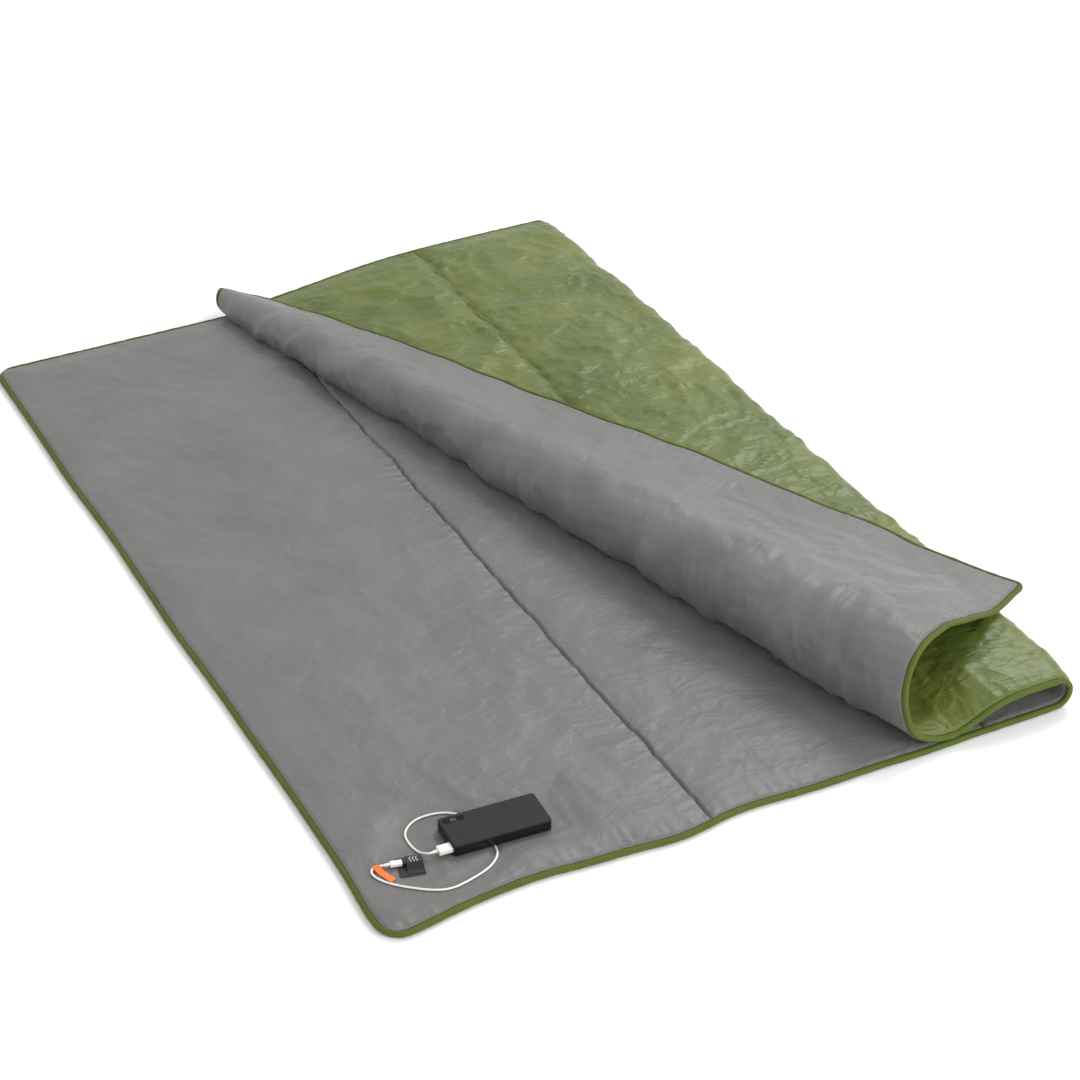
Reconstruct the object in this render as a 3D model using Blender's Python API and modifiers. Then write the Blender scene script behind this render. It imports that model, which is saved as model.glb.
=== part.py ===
"""A heated camping quilt, folded back on one side, with its power bank and cable. Metres, +Z up.

The quilt is drawn flat first: u runs across it from its left edge, v along it from its near edge.
sheet_point() then lays a flat point where the folded quilt has it. The origin is the middle of
the underside of the part that lies flat on the ground.
"""

import math

import bmesh
import bpy
from mathutils import Euler, Matrix, Vector

# ---- Clearances ----
GAP = 0.0003  # between pieces that touch
REST_GAP = 0.0012  # between layers of quilt that lie on each other, room for a stitched seam

# ---- Quilt: flat sizes ----
SHEET_WIDTH = 1.880
SHEET_LENGTH = 1.680
QUILT_THICKNESS = 0.010
FABRIC = 0.0005
BINDING_WIDTH = 0.009
BINDING_HEIGHT = 0.0094
CORNER_RADIUS = 0.035
FREE_CORNER_RADIUS = 0.014
LEFT_SEAM = 0.500
MIDDLE_SEAM = 0.955
RIGHT_SEAM = 1.410
SEAM_WIDTH = 0.0022
SEAM_HEIGHT = 0.0005

# ---- Quilt: folds ----
BASE_WIDTH = 1.080  # from the left edge to where the quilt turns up
FOLD_RADIUS = 0.023  # at the middle of the quilt's thickness
ROLL_NEAR = 0.185  # from the fold back to the roll, at the near edge
ROLL_FAR = 0.620
ROLL_RADIUS_NEAR = 0.072
ROLL_RADIUS_FAR = 0.024
ROLL_TAPER = 1.4
SAG_POWER = 3.0  # how long the folded layer stays up before it comes down to the roll
ROLL_STEPS = 9
SEAM_SHARE = 0.86  # the right seam goes into the roll past this share of the folded layer
FOLD_ROWS = 16  # steps along the folded parts
ROW_CROWDING = 1.5  # how much closer those steps get towards the far end

# ---- Heating ----
PAD_WIDTH = 0.220
PAD_THICKNESS = 0.0006
PAD_CENTRE = 0.250
PAD_COUNT = 3
PAD_SPACING = 0.100  # between one pad and the next
PAD_NEAR_MARGIN = 0.300
PAD_FAR_MARGIN = 0.280
LEAD_RADIUS = 0.0004
HEATER_LAYER = 0.0013  # height of the space between wadding and lining
CUTOFF_SIZE = (0.007, 0.014, 0.0035)
CUTOFF_PLACE = (0.112, 0.230)

# ---- Socket tab on the lining ----
SOCKET_PLACE = (0.0518, 0.1194)  # where the cable enters the small plug's strain relief
SOCKET_TURN = -14.0
PATCH_START = 0.018
PATCH_END = 0.054
PATCH_BACK = 0.0145
PATCH_FRONT = -0.026
PATCH_THICKNESS = 0.0008
HOUSING_LENGTH = 0.018
HOUSING_WIDTH = 0.013
HOUSING_HEIGHT = 0.007
SOCKET_INNER_WIDTH = 0.0090
SOCKET_INNER_HEIGHT = 0.0032
SOCKET_WALL = 0.0004
SOCKET_DEPTH = 0.0075
LABEL_START = 0.030
LABEL_THICKNESS = 0.0008
LABEL_FRONT = -0.0225

# ---- Cable and plugs ----
CABLE_RADIUS = 0.0015
RELIEF_LENGTH = 0.008
RELIEF_END_RADIUS = 0.0020
RELIEF_ROOT_RADIUS = 0.0026
TIP_BODY = (0.017, 0.0095, 0.0055)
TIP_SHELL_WIDTH = 0.0083
TIP_SHELL_HEIGHT = 0.0025
TIP_SHELL_WALL = 0.0003
TIP_SHELL_LENGTH = 0.0065
PLUG_BODY = (0.020, 0.0155, 0.008)
PLUG_SHELL_WIDTH = 0.0120
PLUG_SHELL_HEIGHT = 0.0045
PLUG_SHELL_WALL = 0.0003
PLUG_SHELL_LENGTH = 0.0120
INSULATOR_HEIGHT = 0.0013
TAG_WIDTH = 0.010
TAG_LENGTH = 0.034
TAG_PLY = 0.0004
TAG_TURN = -71.0
TAG_SHARE = 0.38  # its place between the cable's last route point and the plug
CHANNEL_CLEARANCE = 0.0006  # between the cable and the dent it presses into the quilt
# The cable's centreline from the large plug to the small one: place from the quilt's near left
# corner and height above the lining.
CABLE_ROUTE = (
    (0.1128, 0.1120, 0.0078),
    (0.1078, 0.1215, 0.0040),
    (0.1047, 0.1345, 0.0019),
    (0.1032, 0.1490, 0.0018),
    (0.1046, 0.1640, 0.0018),
    (0.1110, 0.1765, 0.0018),
    (0.1230, 0.1868, 0.0018),
    (0.1380, 0.1922, 0.0018),
    (0.1550, 0.1925, 0.0018),
    (0.1710, 0.1885, 0.0018),
    (0.1850, 0.1808, 0.0012),
    (0.1950, 0.1705, -0.0008),
    (0.2010, 0.1590, -0.0017),
    (0.2055, 0.1400, -0.0017),
    (0.2075, 0.1200, -0.0017),
    (0.2075, 0.1000, -0.0017),
    (0.2060, 0.0870, -0.0015),
    (0.2020, 0.0760, 0.0006),
    (0.1950, 0.0660, 0.0018),
    (0.1830, 0.0562, 0.0018),
    (0.1680, 0.0490, 0.0018),
    (0.1500, 0.0435, 0.0018),
    (0.1340, 0.0398, 0.0018),
    (0.1185, 0.0378, 0.0018),
    (0.1030, 0.0405, 0.0018),
    (0.0870, 0.0485, 0.0018),
    (0.0725, 0.0590, 0.0018),
    (0.0600, 0.0695, 0.0018),
    (0.0488, 0.0805, 0.0018),
    (0.0393, 0.0925, 0.0018),
    (0.0330, 0.1050, 0.0020),
    (0.0318, 0.1150, 0.0030),
    (0.0370, 0.1212, 0.0044),
)
DENT_FROM = 9  # route points over which the cable lies in its dent
DENT_TO = 18

# ---- Power bank ----
BANK_LENGTH = 0.145
BANK_WIDTH = 0.067
BANK_HEIGHT = 0.018
BANK_PLACE = (0.2215, 0.1240)
BANK_TURN = -3.5
BANK_CORNER = 0.0045
BANK_CHAMFER = 0.0013
BANK_WALL = 0.0016
SPLIT_CLEARANCE = 0.0014  # between the ports and the line where the case parts
PORT_SIDE = 0.0120  # from the bank's side to a port's middle
PORT_INNER_WIDTH = 0.0127
PORT_INNER_HEIGHT = 0.0052
PORT_WALL = 0.0004
PORT_DEPTH = 0.0140
PORT_TONGUE = (0.0085, 0.0111, 0.0013)
CHARGE_PORT_DEPTH = 0.0080
WINDOW_LENGTH = 0.030
WINDOW_WIDTH = 0.009
WINDOW_MARGINS = (0.0205, 0.0110)  # from the port end and from the side
WINDOW_THICKNESS = 0.0010
DISPLAY_SIZE = (0.026, 0.0075, 0.0020)
BUTTON_LENGTH = 0.012
BUTTON_HEIGHT = 0.004
BUTTON_PROUD = 0.0007
BUTTON_FLANGE = 0.0008
BUTTON_MARGIN = 0.0275  # from the port end
BUTTON_TRAVEL = 0.0004
BOARD_LENGTH = 0.034
BOARD_THICKNESS = 0.0012
CELL_CLEARANCE = 0.0019  # round the cells, which swell as they age
CELL_TO_BOARD = 0.0036
FOAM_HEIGHT = 0.0024

# ---- Derived sizes ----
HALF = QUILT_THICKNESS / 2
FOLD_ARC = math.pi * FOLD_RADIUS
FOLD_TOP = HALF + 2 * FOLD_RADIUS
ROLL_FOOT = HALF + QUILT_THICKNESS + REST_GAP
INNER = BINDING_WIDTH + GAP
LINE_LENGTH = math.hypot(ROLL_FAR - ROLL_NEAR, SHEET_LENGTH)
ALONG = ((ROLL_FAR - ROLL_NEAR) / LINE_LENGTH, SHEET_LENGTH / LINE_LENGTH)
ACROSS = (ALONG[1], -ALONG[0])
CORNER = Vector((-BASE_WIDTH / 2, -SHEET_LENGTH / 2, 0))
LINING_TOP = QUILT_THICKNESS
WADDING_LOW = -HALF + FABRIC + GAP
WADDING_HIGH = HALF - FABRIC - HEATER_LAYER
SOCKET_MIDDLE = LINING_TOP + GAP + PATCH_THICKNESS + GAP + HOUSING_HEIGHT / 2
BANK_FLOOR = LINING_TOP + GAP
PORT_OUTER_WIDTH = PORT_INNER_WIDTH + 2 * PORT_WALL
PORT_OUTER_HEIGHT = PORT_INNER_HEIGHT + 2 * PORT_WALL
CHARGE_OUTER_WIDTH = SOCKET_INNER_WIDTH + 2 * SOCKET_WALL
CHARGE_OUTER_HEIGHT = SOCKET_INNER_HEIGHT + 2 * SOCKET_WALL
BANK_END = -BANK_LENGTH / 2
PORT_HEIGHT = BANK_HEIGHT / 2
PORT_OFFSET = BANK_WIDTH / 2 - PORT_SIDE
BANK_SPLIT = PORT_HEIGHT + PORT_OUTER_HEIGHT / 2 + SPLIT_CLEARANCE
WINDOW_PLACE = (BANK_END + WINDOW_MARGINS[0], BANK_WIDTH / 2 - WINDOW_MARGINS[1])
BUTTON_PLACE = BANK_END + BUTTON_MARGIN
PAD_LENGTH = (
    SHEET_LENGTH - PAD_NEAR_MARGIN - PAD_FAR_MARGIN - (PAD_COUNT - 1) * PAD_SPACING
) / PAD_COUNT
PAD_ROWS = [
    PAD_NEAR_MARGIN + PAD_LENGTH / 2 + k * (PAD_LENGTH + PAD_SPACING) for k in range(PAD_COUNT)
]

COLOURS = {
    "lining": ((0.235, 0.230, 0.228), 0.5, 0.0),
    "shell": ((0.150, 0.210, 0.075), 0.45, 0.0),
    "wadding": ((0.800, 0.800, 0.780), 0.9, 0.0),
    "binding": ((0.160, 0.190, 0.050), 0.7, 0.0),
    "thread": ((0.060, 0.060, 0.060), 0.8, 0.0),
    "carbon": ((0.030, 0.030, 0.032), 0.5, 0.0),
    "black_cloth": ((0.020, 0.020, 0.020), 0.85, 0.0),
    "tag": ((0.900, 0.230, 0.020), 0.7, 0.0),
    "white_plastic": ((0.850, 0.840, 0.820), 0.4, 0.0),
    "black_plastic": ((0.020, 0.020, 0.020), 0.35, 0.0),
    "pebbled_plastic": ((0.055, 0.053, 0.050), 0.6, 0.0),
    "clear_plastic": ((0.010, 0.010, 0.012), 0.1, 0.0),
    "nickel": ((0.700, 0.700, 0.700), 0.3, 1.0),
    "board": ((0.020, 0.180, 0.070), 0.5, 0.0),
    "cell": ((0.550, 0.560, 0.580), 0.35, 0.6),
    "foam": ((0.120, 0.120, 0.120), 0.95, 0.0),
}


# ---- Scene helpers ----
def clear_scene():
    for thing in list(bpy.data.objects):
        bpy.data.objects.remove(thing)


def new_collection(name):
    made = bpy.data.collections.new(name)
    bpy.context.scene.collection.children.link(made)
    return made


def material(kind):
    found = bpy.data.materials.get(kind)
    if found:
        return found
    made = bpy.data.materials.new(kind)
    made.use_nodes = True
    colour, roughness, metallic = COLOURS[kind]
    shader = made.node_tree.nodes["Principled BSDF"]
    shader.inputs["Base Color"].default_value = (*colour, 1.0)
    shader.inputs["Roughness"].default_value = roughness
    shader.inputs["Metallic"].default_value = metallic
    return made


def add_mesh(name, bm, kind, parent=None):
    """Turns a bmesh into a named part with outward faces."""
    bmesh.ops.recalc_face_normals(bm, faces=bm.faces)
    data = bpy.data.meshes.new(name)
    bm.to_mesh(data)
    bm.free()
    data.materials.append(material(kind))
    part = bpy.data.objects.new(name, data)
    parts.objects.link(part)
    part.parent = parent
    return part


def add_frame(name, place, turn, height):
    """An empty that carries a group of parts, placed from the quilt's near left corner."""
    frame = bpy.data.objects.new(name, None)
    frame.location = CORNER + Vector((place[0], place[1], height))
    frame.rotation_euler = Euler((0, 0, math.radians(turn)))
    parts.objects.link(frame)
    bpy.context.view_layer.update()
    return frame


def as_cutter(part):
    part.hide_render = True
    part.display_type = "WIRE"
    parts.objects.unlink(part)
    cutters.objects.link(part)
    return part


def cut(part, cutter):
    step = part.modifiers.new("cut", "BOOLEAN")
    step.operation = "DIFFERENCE"
    step.object = cutter


def bevel_edges(bm, edges, width, segments):
    bmesh.ops.bevel(
        bm,
        geom=edges,
        offset=width,
        segments=segments,
        profile=0.5,
        affect="EDGES",
        material=-1,
    )


def block(name, kind, low, high, parent=None, corner=0.0, axis=2, segments=3, soften=0.0):
    """A box between two corners, its edges along one axis rounded and the others softened."""
    bm = bmesh.new()
    bmesh.ops.create_cube(bm, size=1.0)
    size = Vector(high) - Vector(low)
    bmesh.ops.scale(bm, vec=size, verts=bm.verts)
    bmesh.ops.translate(bm, vec=(Vector(high) + Vector(low)) / 2, verts=bm.verts)
    if corner:
        bevel_edges(bm, [e for e in bm.edges if along_axis(e, axis)], corner, segments)
    if soften:
        ends = [
            e
            for e in bm.edges
            if abs(e.verts[0].co[axis] - e.verts[1].co[axis]) < 1e-7
            and not all(abs(f.normal[axis]) < 0.5 for f in e.link_faces)
        ]
        bevel_edges(bm, ends, soften, 1)
    return add_mesh(name, bm, kind, parent)


def along_axis(edge, axis):
    run = edge.verts[0].co - edge.verts[1].co
    return abs(run[axis]) > 0.99 * run.length


def sleeve(name, kind, start, length, width, height, wall, place, parent):
    """A thin rectangular metal shell open at both ends, running along X from start."""
    bm = bmesh.new()
    bmesh.ops.create_cube(bm, size=1.0)
    bmesh.ops.scale(bm, vec=(length, width, height), verts=bm.verts)
    middle = Vector((start + length / 2, place[0], place[1]))
    bmesh.ops.translate(bm, vec=middle, verts=bm.verts)
    bevel_edges(bm, [e for e in bm.edges if along_axis(e, 0)], wall * 1.5, 1)
    ends = [f for f in bm.faces if abs(f.normal.x) > 0.9]
    bmesh.ops.delete(bm, geom=ends, context="FACES_ONLY")
    part = add_mesh(name, bm, kind, parent)
    solidify = part.modifiers.new("wall", "SOLIDIFY")
    solidify.thickness = wall
    solidify.offset = -1.0
    solidify.use_even_offset = True
    return part


# ---- The folded quilt ----
def ease(share):
    share = min(max(share, 0.0), 1.0)
    return share * share * (3 - 2 * share)


def roll_reach(v):
    """How far back from the fold the roll starts."""
    return ROLL_NEAR + (ROLL_FAR - ROLL_NEAR) * v / SHEET_LENGTH


def roll_radius(along):
    left = min(max(1 - along / LINE_LENGTH, 0.0), 1.0)
    return ROLL_RADIUS_FAR + (ROLL_RADIUS_NEAR - ROLL_RADIUS_FAR) * left**ROLL_TAPER


def folded_height(reach, v):
    """Height of the folded layer's middle, from the fold's top down to the roll's foot."""
    fall = ease(reach / roll_reach(v)) ** SAG_POWER
    return FOLD_TOP + (ROLL_FOOT - FOLD_TOP) * fall


def free_span(v):
    """Flat width of what is left past the roll at v."""
    past = (SHEET_WIDTH - BASE_WIDTH - FOLD_ARC - roll_reach(v)) * ACROSS[0]
    return max(past - math.pi * roll_radius(v * LINE_LENGTH / SHEET_LENGTH), 0.010)


def surface(u, v):
    """The middle of the quilt's thickness, from its near left corner."""
    turned = u - BASE_WIDTH
    if turned <= 0:
        return Vector((u, v, HALF))
    if turned <= FOLD_ARC:
        angle = turned / FOLD_RADIUS
        rise = FOLD_RADIUS * (1 - math.cos(angle))
        return Vector((BASE_WIDTH + FOLD_RADIUS * math.sin(angle), v, HALF + rise))
    reach = turned - FOLD_ARC
    past_line = (reach - ROLL_NEAR) * ACROSS[0] + v * ACROSS[1]
    if past_line <= 0:
        return Vector((BASE_WIDTH - reach, v, folded_height(reach, v)))
    along = (reach - ROLL_NEAR) * ALONG[0] + v * ALONG[1]
    radius = roll_radius(along)
    angle = min(past_line / radius, math.pi)
    over = max(past_line - math.pi * radius, 0.0)
    out = radius * math.sin(angle) - over
    x = BASE_WIDTH - ROLL_NEAR - along * ALONG[0] - out * ACROSS[0]
    y = along * ALONG[1] + out * ACROSS[1]
    z = ROLL_FOOT + radius * (1 - math.cos(angle))
    if over > 0:
        under = folded_height(max(BASE_WIDTH - x, 0.0), min(max(y, 0.0), SHEET_LENGTH))
        rest = under + QUILT_THICKNESS + REST_GAP
        z += (rest - z) * ease(over / free_span(v))
    return Vector((x, y, z))


def sheet_point(u, v, lift):
    """A point lift away from the middle of the quilt, towards the lining."""
    step = 1e-5
    across = surface(u + step, v) - surface(u - step, v)
    along = surface(u, v + step) - surface(u, v - step)
    return CORNER + surface(u, v) + across.cross(along).normalized() * lift


def row_share(share):
    """Rows get closer together towards the far end, where the roll is tightest."""
    return 1 - (1 - share) ** ROW_CROWDING


def corner_inset(distance, radius):
    """How far a rounded corner pulls an edge in, at a distance from the other edge."""
    if distance >= radius:
        return 0.0
    return radius - math.sqrt(max(radius**2 - (radius - distance) ** 2, 0.0))


def roll_end(v):
    """u where the roll has made its half turn and the free part begins."""
    reach = roll_reach(v)
    for _ in range(12):
        along = (reach - ROLL_NEAR) * ALONG[0] + v * ALONG[1]
        reach = roll_reach(v) + math.pi * roll_radius(along) / ACROSS[0]
    return BASE_WIDTH + FOLD_ARC + reach


def base_columns(_v):
    radius = CORNER_RADIUS - INNER
    rounded = [INNER + radius * (1 - math.cos(math.radians(a))) for a in (0, 30, 60, 90)]
    turn = [BASE_WIDTH + FOLD_ARC / 2 * k / 3 for k in range(1, 4)]
    turn[-1] -= GAP / 2
    return [*rounded, LEFT_SEAM, BASE_WIDTH, *turn]


def flap_columns(v):
    start = BASE_WIDTH + FOLD_ARC / 2 + GAP / 2
    turn = [start + (FOLD_ARC / 2 - GAP / 2) * k / 3 for k in range(3)]
    top = BASE_WIDTH + FOLD_ARC
    end = top + roll_reach(v)
    middle = min(RIGHT_SEAM, top + SEAM_SHARE * roll_reach(v))
    flat = [top + (middle - top) * k / 5 for k in range(5)]
    flat += [middle + (end - GAP / 2 - middle) * k / 4 for k in range(5)]
    return [*turn, *flat]


def roll_columns(v):
    start = BASE_WIDTH + FOLD_ARC + roll_reach(v) + GAP / 2
    span = roll_end(v) - GAP / 2 - start
    return [start + span * k / ROLL_STEPS for k in range(ROLL_STEPS + 1)]


def free_columns(v):
    start = roll_end(v) + GAP / 2
    radius = FREE_CORNER_RADIUS - INNER
    edge = SHEET_WIDTH - INNER - 2 * GAP  # room for the bends of the free edge
    flat = [start + (edge - radius - start) * k / 6 for k in range(7)]
    return [*flat, *(edge - radius * (1 - math.sin(math.radians(a))) for a in (35, 90))]


def panel(name, kind, columns, rows, low, high, left=0.0, right=0.0):
    """One layer of one stretch of quilt: a grid laid on the folded surface and given its thickness.

    columns(v) gives the values of u in a row, low and high are the layer's two faces, and left
    and right are the radii of its rounded corners on those sides."""
    across = len(columns(0.0))
    bm = bmesh.new()
    bmesh.ops.create_grid(bm, x_segments=across - 1, y_segments=rows, size=1.0)
    lower = list(bm.verts)
    flat = []
    for vert in lower:
        column = round((vert.co.x + 1) / 2 * (across - 1))
        share = row_share((vert.co.y + 1) / 2)
        v = INNER + (SHEET_LENGTH - 2 * INNER) * share
        u = columns(v)[column]
        pull = max(corner_inset(u - INNER, left), corner_inset(SHEET_WIDTH - INNER - u, right))
        if left or right:
            v = INNER + pull + (SHEET_LENGTH - 2 * (INNER + pull)) * share
            u = columns(v)[column]
        flat.append((u, v))
    grown = bmesh.ops.extrude_face_region(bm, geom=list(bm.faces), use_keep_orig=True)
    upper = {}
    for vert in (g for g in grown["geom"] if isinstance(g, bmesh.types.BMVert)):
        upper[(round(vert.co.x, 5), round(vert.co.y, 5))] = vert
    for vert, (u, v) in zip(lower, flat):
        above = upper[(round(vert.co.x, 5), round(vert.co.y, 5))]
        vert.co = sheet_point(u, v, low)
        above.co = sheet_point(u, v, high)
    return add_mesh(name, bm, kind)


def grid_points(bm, across, along):
    """The vertices of a fresh grid with their column and row numbers."""
    bmesh.ops.create_grid(bm, x_segments=across, y_segments=along, size=1.0)
    for vert in list(bm.verts):
        yield vert, round((vert.co.x + 1) / 2 * across), round((vert.co.y + 1) / 2 * along)


def sweep(name, kind, rings, parent=None):
    """A solid through rings of points: a grid rolled up along them and closed at both ends."""
    sides = len(rings[0])
    bm = bmesh.new()
    for vert, column, row in grid_points(bm, sides, len(rings) - 1):
        vert.co = rings[row][column % sides]
    bmesh.ops.remove_doubles(bm, verts=bm.verts, dist=1e-6)
    bmesh.ops.holes_fill(bm, edges=bm.edges, sides=sides)
    return add_mesh(name, bm, kind, parent)


def strip(name, kind, profile, start, end, thickness, parent):
    """Cloth bent to a profile of (y, z) points and running along X from start to end."""
    bm = bmesh.new()
    for vert, column, row in grid_points(bm, len(profile) - 1, 1):
        vert.co = (end if row else start, *profile[column])
    part = add_mesh(name, bm, kind, parent)
    solidify = part.modifiers.new("thickness", "SOLIDIFY")
    solidify.thickness = thickness
    solidify.offset = 0.0
    solidify.use_even_offset = True
    return part


# ---- Quilt pieces ----
def hang_folded_parts():
    """The folded part turns about the outside of its fold, the free part about the roll's top."""
    fold = CORNER + Vector((BASE_WIDTH + FOLD_RADIUS + HALF, SHEET_LENGTH / 2, HALF + FOLD_RADIUS))
    top = ROLL_FOOT + HALF
    last = roll_end(SHEET_LENGTH) - BASE_WIDTH - FOLD_ARC - ROLL_NEAR
    last = last * ALONG[0] + SHEET_LENGTH * ALONG[1]
    near = Vector((BASE_WIDTH - ROLL_NEAR, 0, top + 2 * ROLL_RADIUS_NEAR))
    far = near + Vector((-ALONG[0] * last, ALONG[1] * last, 0))
    far.z = top + 2 * ROLL_RADIUS_FAR
    for name, place, run, ends in (
        ("fold_axis", fold, Vector((0, 1, 0)), ("_flap", "_roll", "_near", "_far", "_right_thread")),
        ("turnback_axis", CORNER + near, far - near, ("_turnback",)),
    ):
        axis = bpy.data.objects.new(name, None)
        axis.location = place
        axis.rotation_euler = run.to_track_quat("Y", "Z").to_euler()
        parts.objects.link(axis)
        bpy.context.view_layer.update()
        for part in [p for p in parts.objects if p.name.endswith(ends)]:
            part.parent = axis
            part.matrix_parent_inverse = axis.matrix_world.inverted()


def make_layers():
    corner = CORNER_RADIUS - INNER
    free_corner = FREE_CORNER_RADIUS - INNER
    layers = (
        ("lining", HALF - FABRIC, HALF),
        ("wadding", WADDING_LOW, WADDING_HIGH),
        ("shell", -HALF, -HALF + FABRIC),
    )
    for kind, low, high in layers:
        panel(f"{kind}_base", kind, base_columns, 6, low, high, left=corner)
        panel(f"{kind}_flap", kind, flap_columns, FOLD_ROWS, low, high)
        panel(f"{kind}_roll", kind, roll_columns, FOLD_ROWS, low, high)
        panel(f"{kind}_turnback", kind, free_columns, FOLD_ROWS, low, high, right=free_corner)


def binding_ring(station):
    """The tape's outline where it goes round the edge, at (u, v) and facing (out_u, out_v)."""
    u, v, out_u, out_v = station
    wide, high = BINDING_WIDTH / 2, BINDING_HEIGHT / 2
    points = []
    for k in range(8):
        angle = math.radians(22.5 + 45 * k)
        out = wide * math.cos(angle) / math.cos(math.radians(22.5))
        lift = high * math.sin(angle) / math.cos(math.radians(22.5))
        points.append(sheet_point(u + out_u * out, v + out_v * out, lift))
    return points


def edge_run(columns, near):
    """Binding stations along the near or far edge, over a row of u values."""
    v = BINDING_WIDTH / 2 if near else SHEET_LENGTH - BINDING_WIDTH / 2
    return [(u, v, 0.0, -1.0 if near else 1.0) for u in columns(v)]


def corner_run(u, v, radius, first, last):
    """Binding stations round a corner centred at (u, v), between two directions in degrees."""
    stations = []
    for k in (1, 2):
        angle = math.radians(first + (last - first) * k / 3)
        out_u, out_v = math.cos(angle), math.sin(angle)
        stations.append((u + radius * out_u, v + radius * out_v, out_u, out_v))
    return stations


def base_binding_columns(_v):
    turn = [BASE_WIDTH + FOLD_ARC / 2 * k / 3 for k in range(1, 4)]
    turn[-1] -= GAP / 2
    return [CORNER_RADIUS, LEFT_SEAM, BASE_WIDTH, *turn]


def make_base_binding():
    middle = BINDING_WIDTH / 2
    radius = CORNER_RADIUS - middle
    near = edge_run(base_binding_columns, near=True)[::-1]
    far = edge_run(base_binding_columns, near=False)
    low, high = CORNER_RADIUS, SHEET_LENGTH - CORNER_RADIUS
    stations = [*near, *corner_run(CORNER_RADIUS, low, radius, -90, -180)]
    stations += [(middle, v, -1.0, 0.0) for v in (low, SHEET_LENGTH / 2, high)]
    stations += [*corner_run(CORNER_RADIUS, high, radius, 180, 90), *far]
    sweep("binding_base", "binding", [binding_ring(s) for s in stations])


def flap_binding_columns(v):
    turned = flap_columns(v)[:-1]
    roll = roll_columns(v)
    return [*turned, *roll]


def free_binding_columns(v):
    start = roll_end(v) + 2 * GAP  # the tape is thicker than the cloth, so it needs more room
    edge = SHEET_WIDTH - FREE_CORNER_RADIUS
    return [start + (edge - start) * k / 6 for k in range(7)]


def make_folded_bindings():
    for side, near in (("near", True), ("far", False)):
        stations = edge_run(flap_binding_columns, near)
        sweep(f"binding_flap_{side}", "binding", [binding_ring(s) for s in stations])
    middle = BINDING_WIDTH / 2
    radius = FREE_CORNER_RADIUS - middle
    edge, low = SHEET_WIDTH - FREE_CORNER_RADIUS, FREE_CORNER_RADIUS
    high = SHEET_LENGTH - FREE_CORNER_RADIUS
    stations = edge_run(free_binding_columns, near=True)
    stations += corner_run(edge, low, radius, -90, 0)
    stations += [
        (SHEET_WIDTH - middle, low + (high - low) * row_share(k / FOLD_ROWS), 1.0, 0.0)
        for k in range(FOLD_ROWS + 1)
    ]
    stations += corner_run(edge, high, radius, 0, 90)
    stations += edge_run(free_binding_columns, near=False)[::-1]
    sweep("binding_turnback", "binding", [binding_ring(s) for s in stations])


def seam(name, u, rows, side):
    """A line of stitches through rows of v, raised on the lining (side 1) or the shell (-1)."""
    low = side * (HALF + GAP)
    high = side * (HALF + GAP + SEAM_HEIGHT)
    wide = SEAM_WIDTH / 2
    rings = []
    for v in rows:
        corners = ((-wide, low), (wide, low), (wide, high), (-wide, high))
        rings.append([sheet_point(u + across, v, lift) for across, lift in corners])
    sweep(name, "thread", rings)


def make_seams():
    low, high = INNER, SHEET_LENGTH - INNER
    seam("seam_left_thread", LEFT_SEAM, (low, high), 1)
    seam("seam_middle_thread", MIDDLE_SEAM, (low, high), 1)
    rows = [low + (high - low) * row_share(k / FOLD_ROWS) for k in range(FOLD_ROWS + 1)]
    reach = (RIGHT_SEAM - BASE_WIDTH - FOLD_ARC) / SEAM_SHARE
    seam("seam_right_thread", RIGHT_SEAM, [v for v in rows if roll_reach(v) > reach], -1)


# ---- Heating ----
def lead(name, route, radius, kind, resolution=2):
    """A round flexible lead: a smooth curve through its route, as a bevelled polyline."""
    curve = bpy.data.curves.new(name, "CURVE")
    curve.dimensions = "3D"
    curve.bevel_depth = radius
    curve.bevel_resolution = resolution
    curve.use_fill_caps = True
    spline = curve.splines.new("POLY")
    spline.points.add(len(route) - 1)
    for point, place in zip(spline.points, route):
        point.co = (*place, 1.0)
    curve.materials.append(material(kind))
    part = bpy.data.objects.new(name, curve)
    parts.objects.link(part)
    return part


def smooth_route(points, count):
    """Evenly shared points on a smooth curve through the route's own points."""
    ends = [points[0] * 2 - points[1], *points, points[-1] * 2 - points[-2]]
    spans = len(points) - 1
    route = []
    for k in range(count):
        place = min(k / (count - 1) * spans, spans - 1e-9)
        span = int(place)
        t = place - span
        a, b, c, d = ends[span : span + 4]
        bend = (2 * a - 5 * b + 4 * c - d) * t * t + (3 * b - a - 3 * c + d) * t**3
        route.append((2 * b + (c - a) * t + bend) / 2)
    return route


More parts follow.
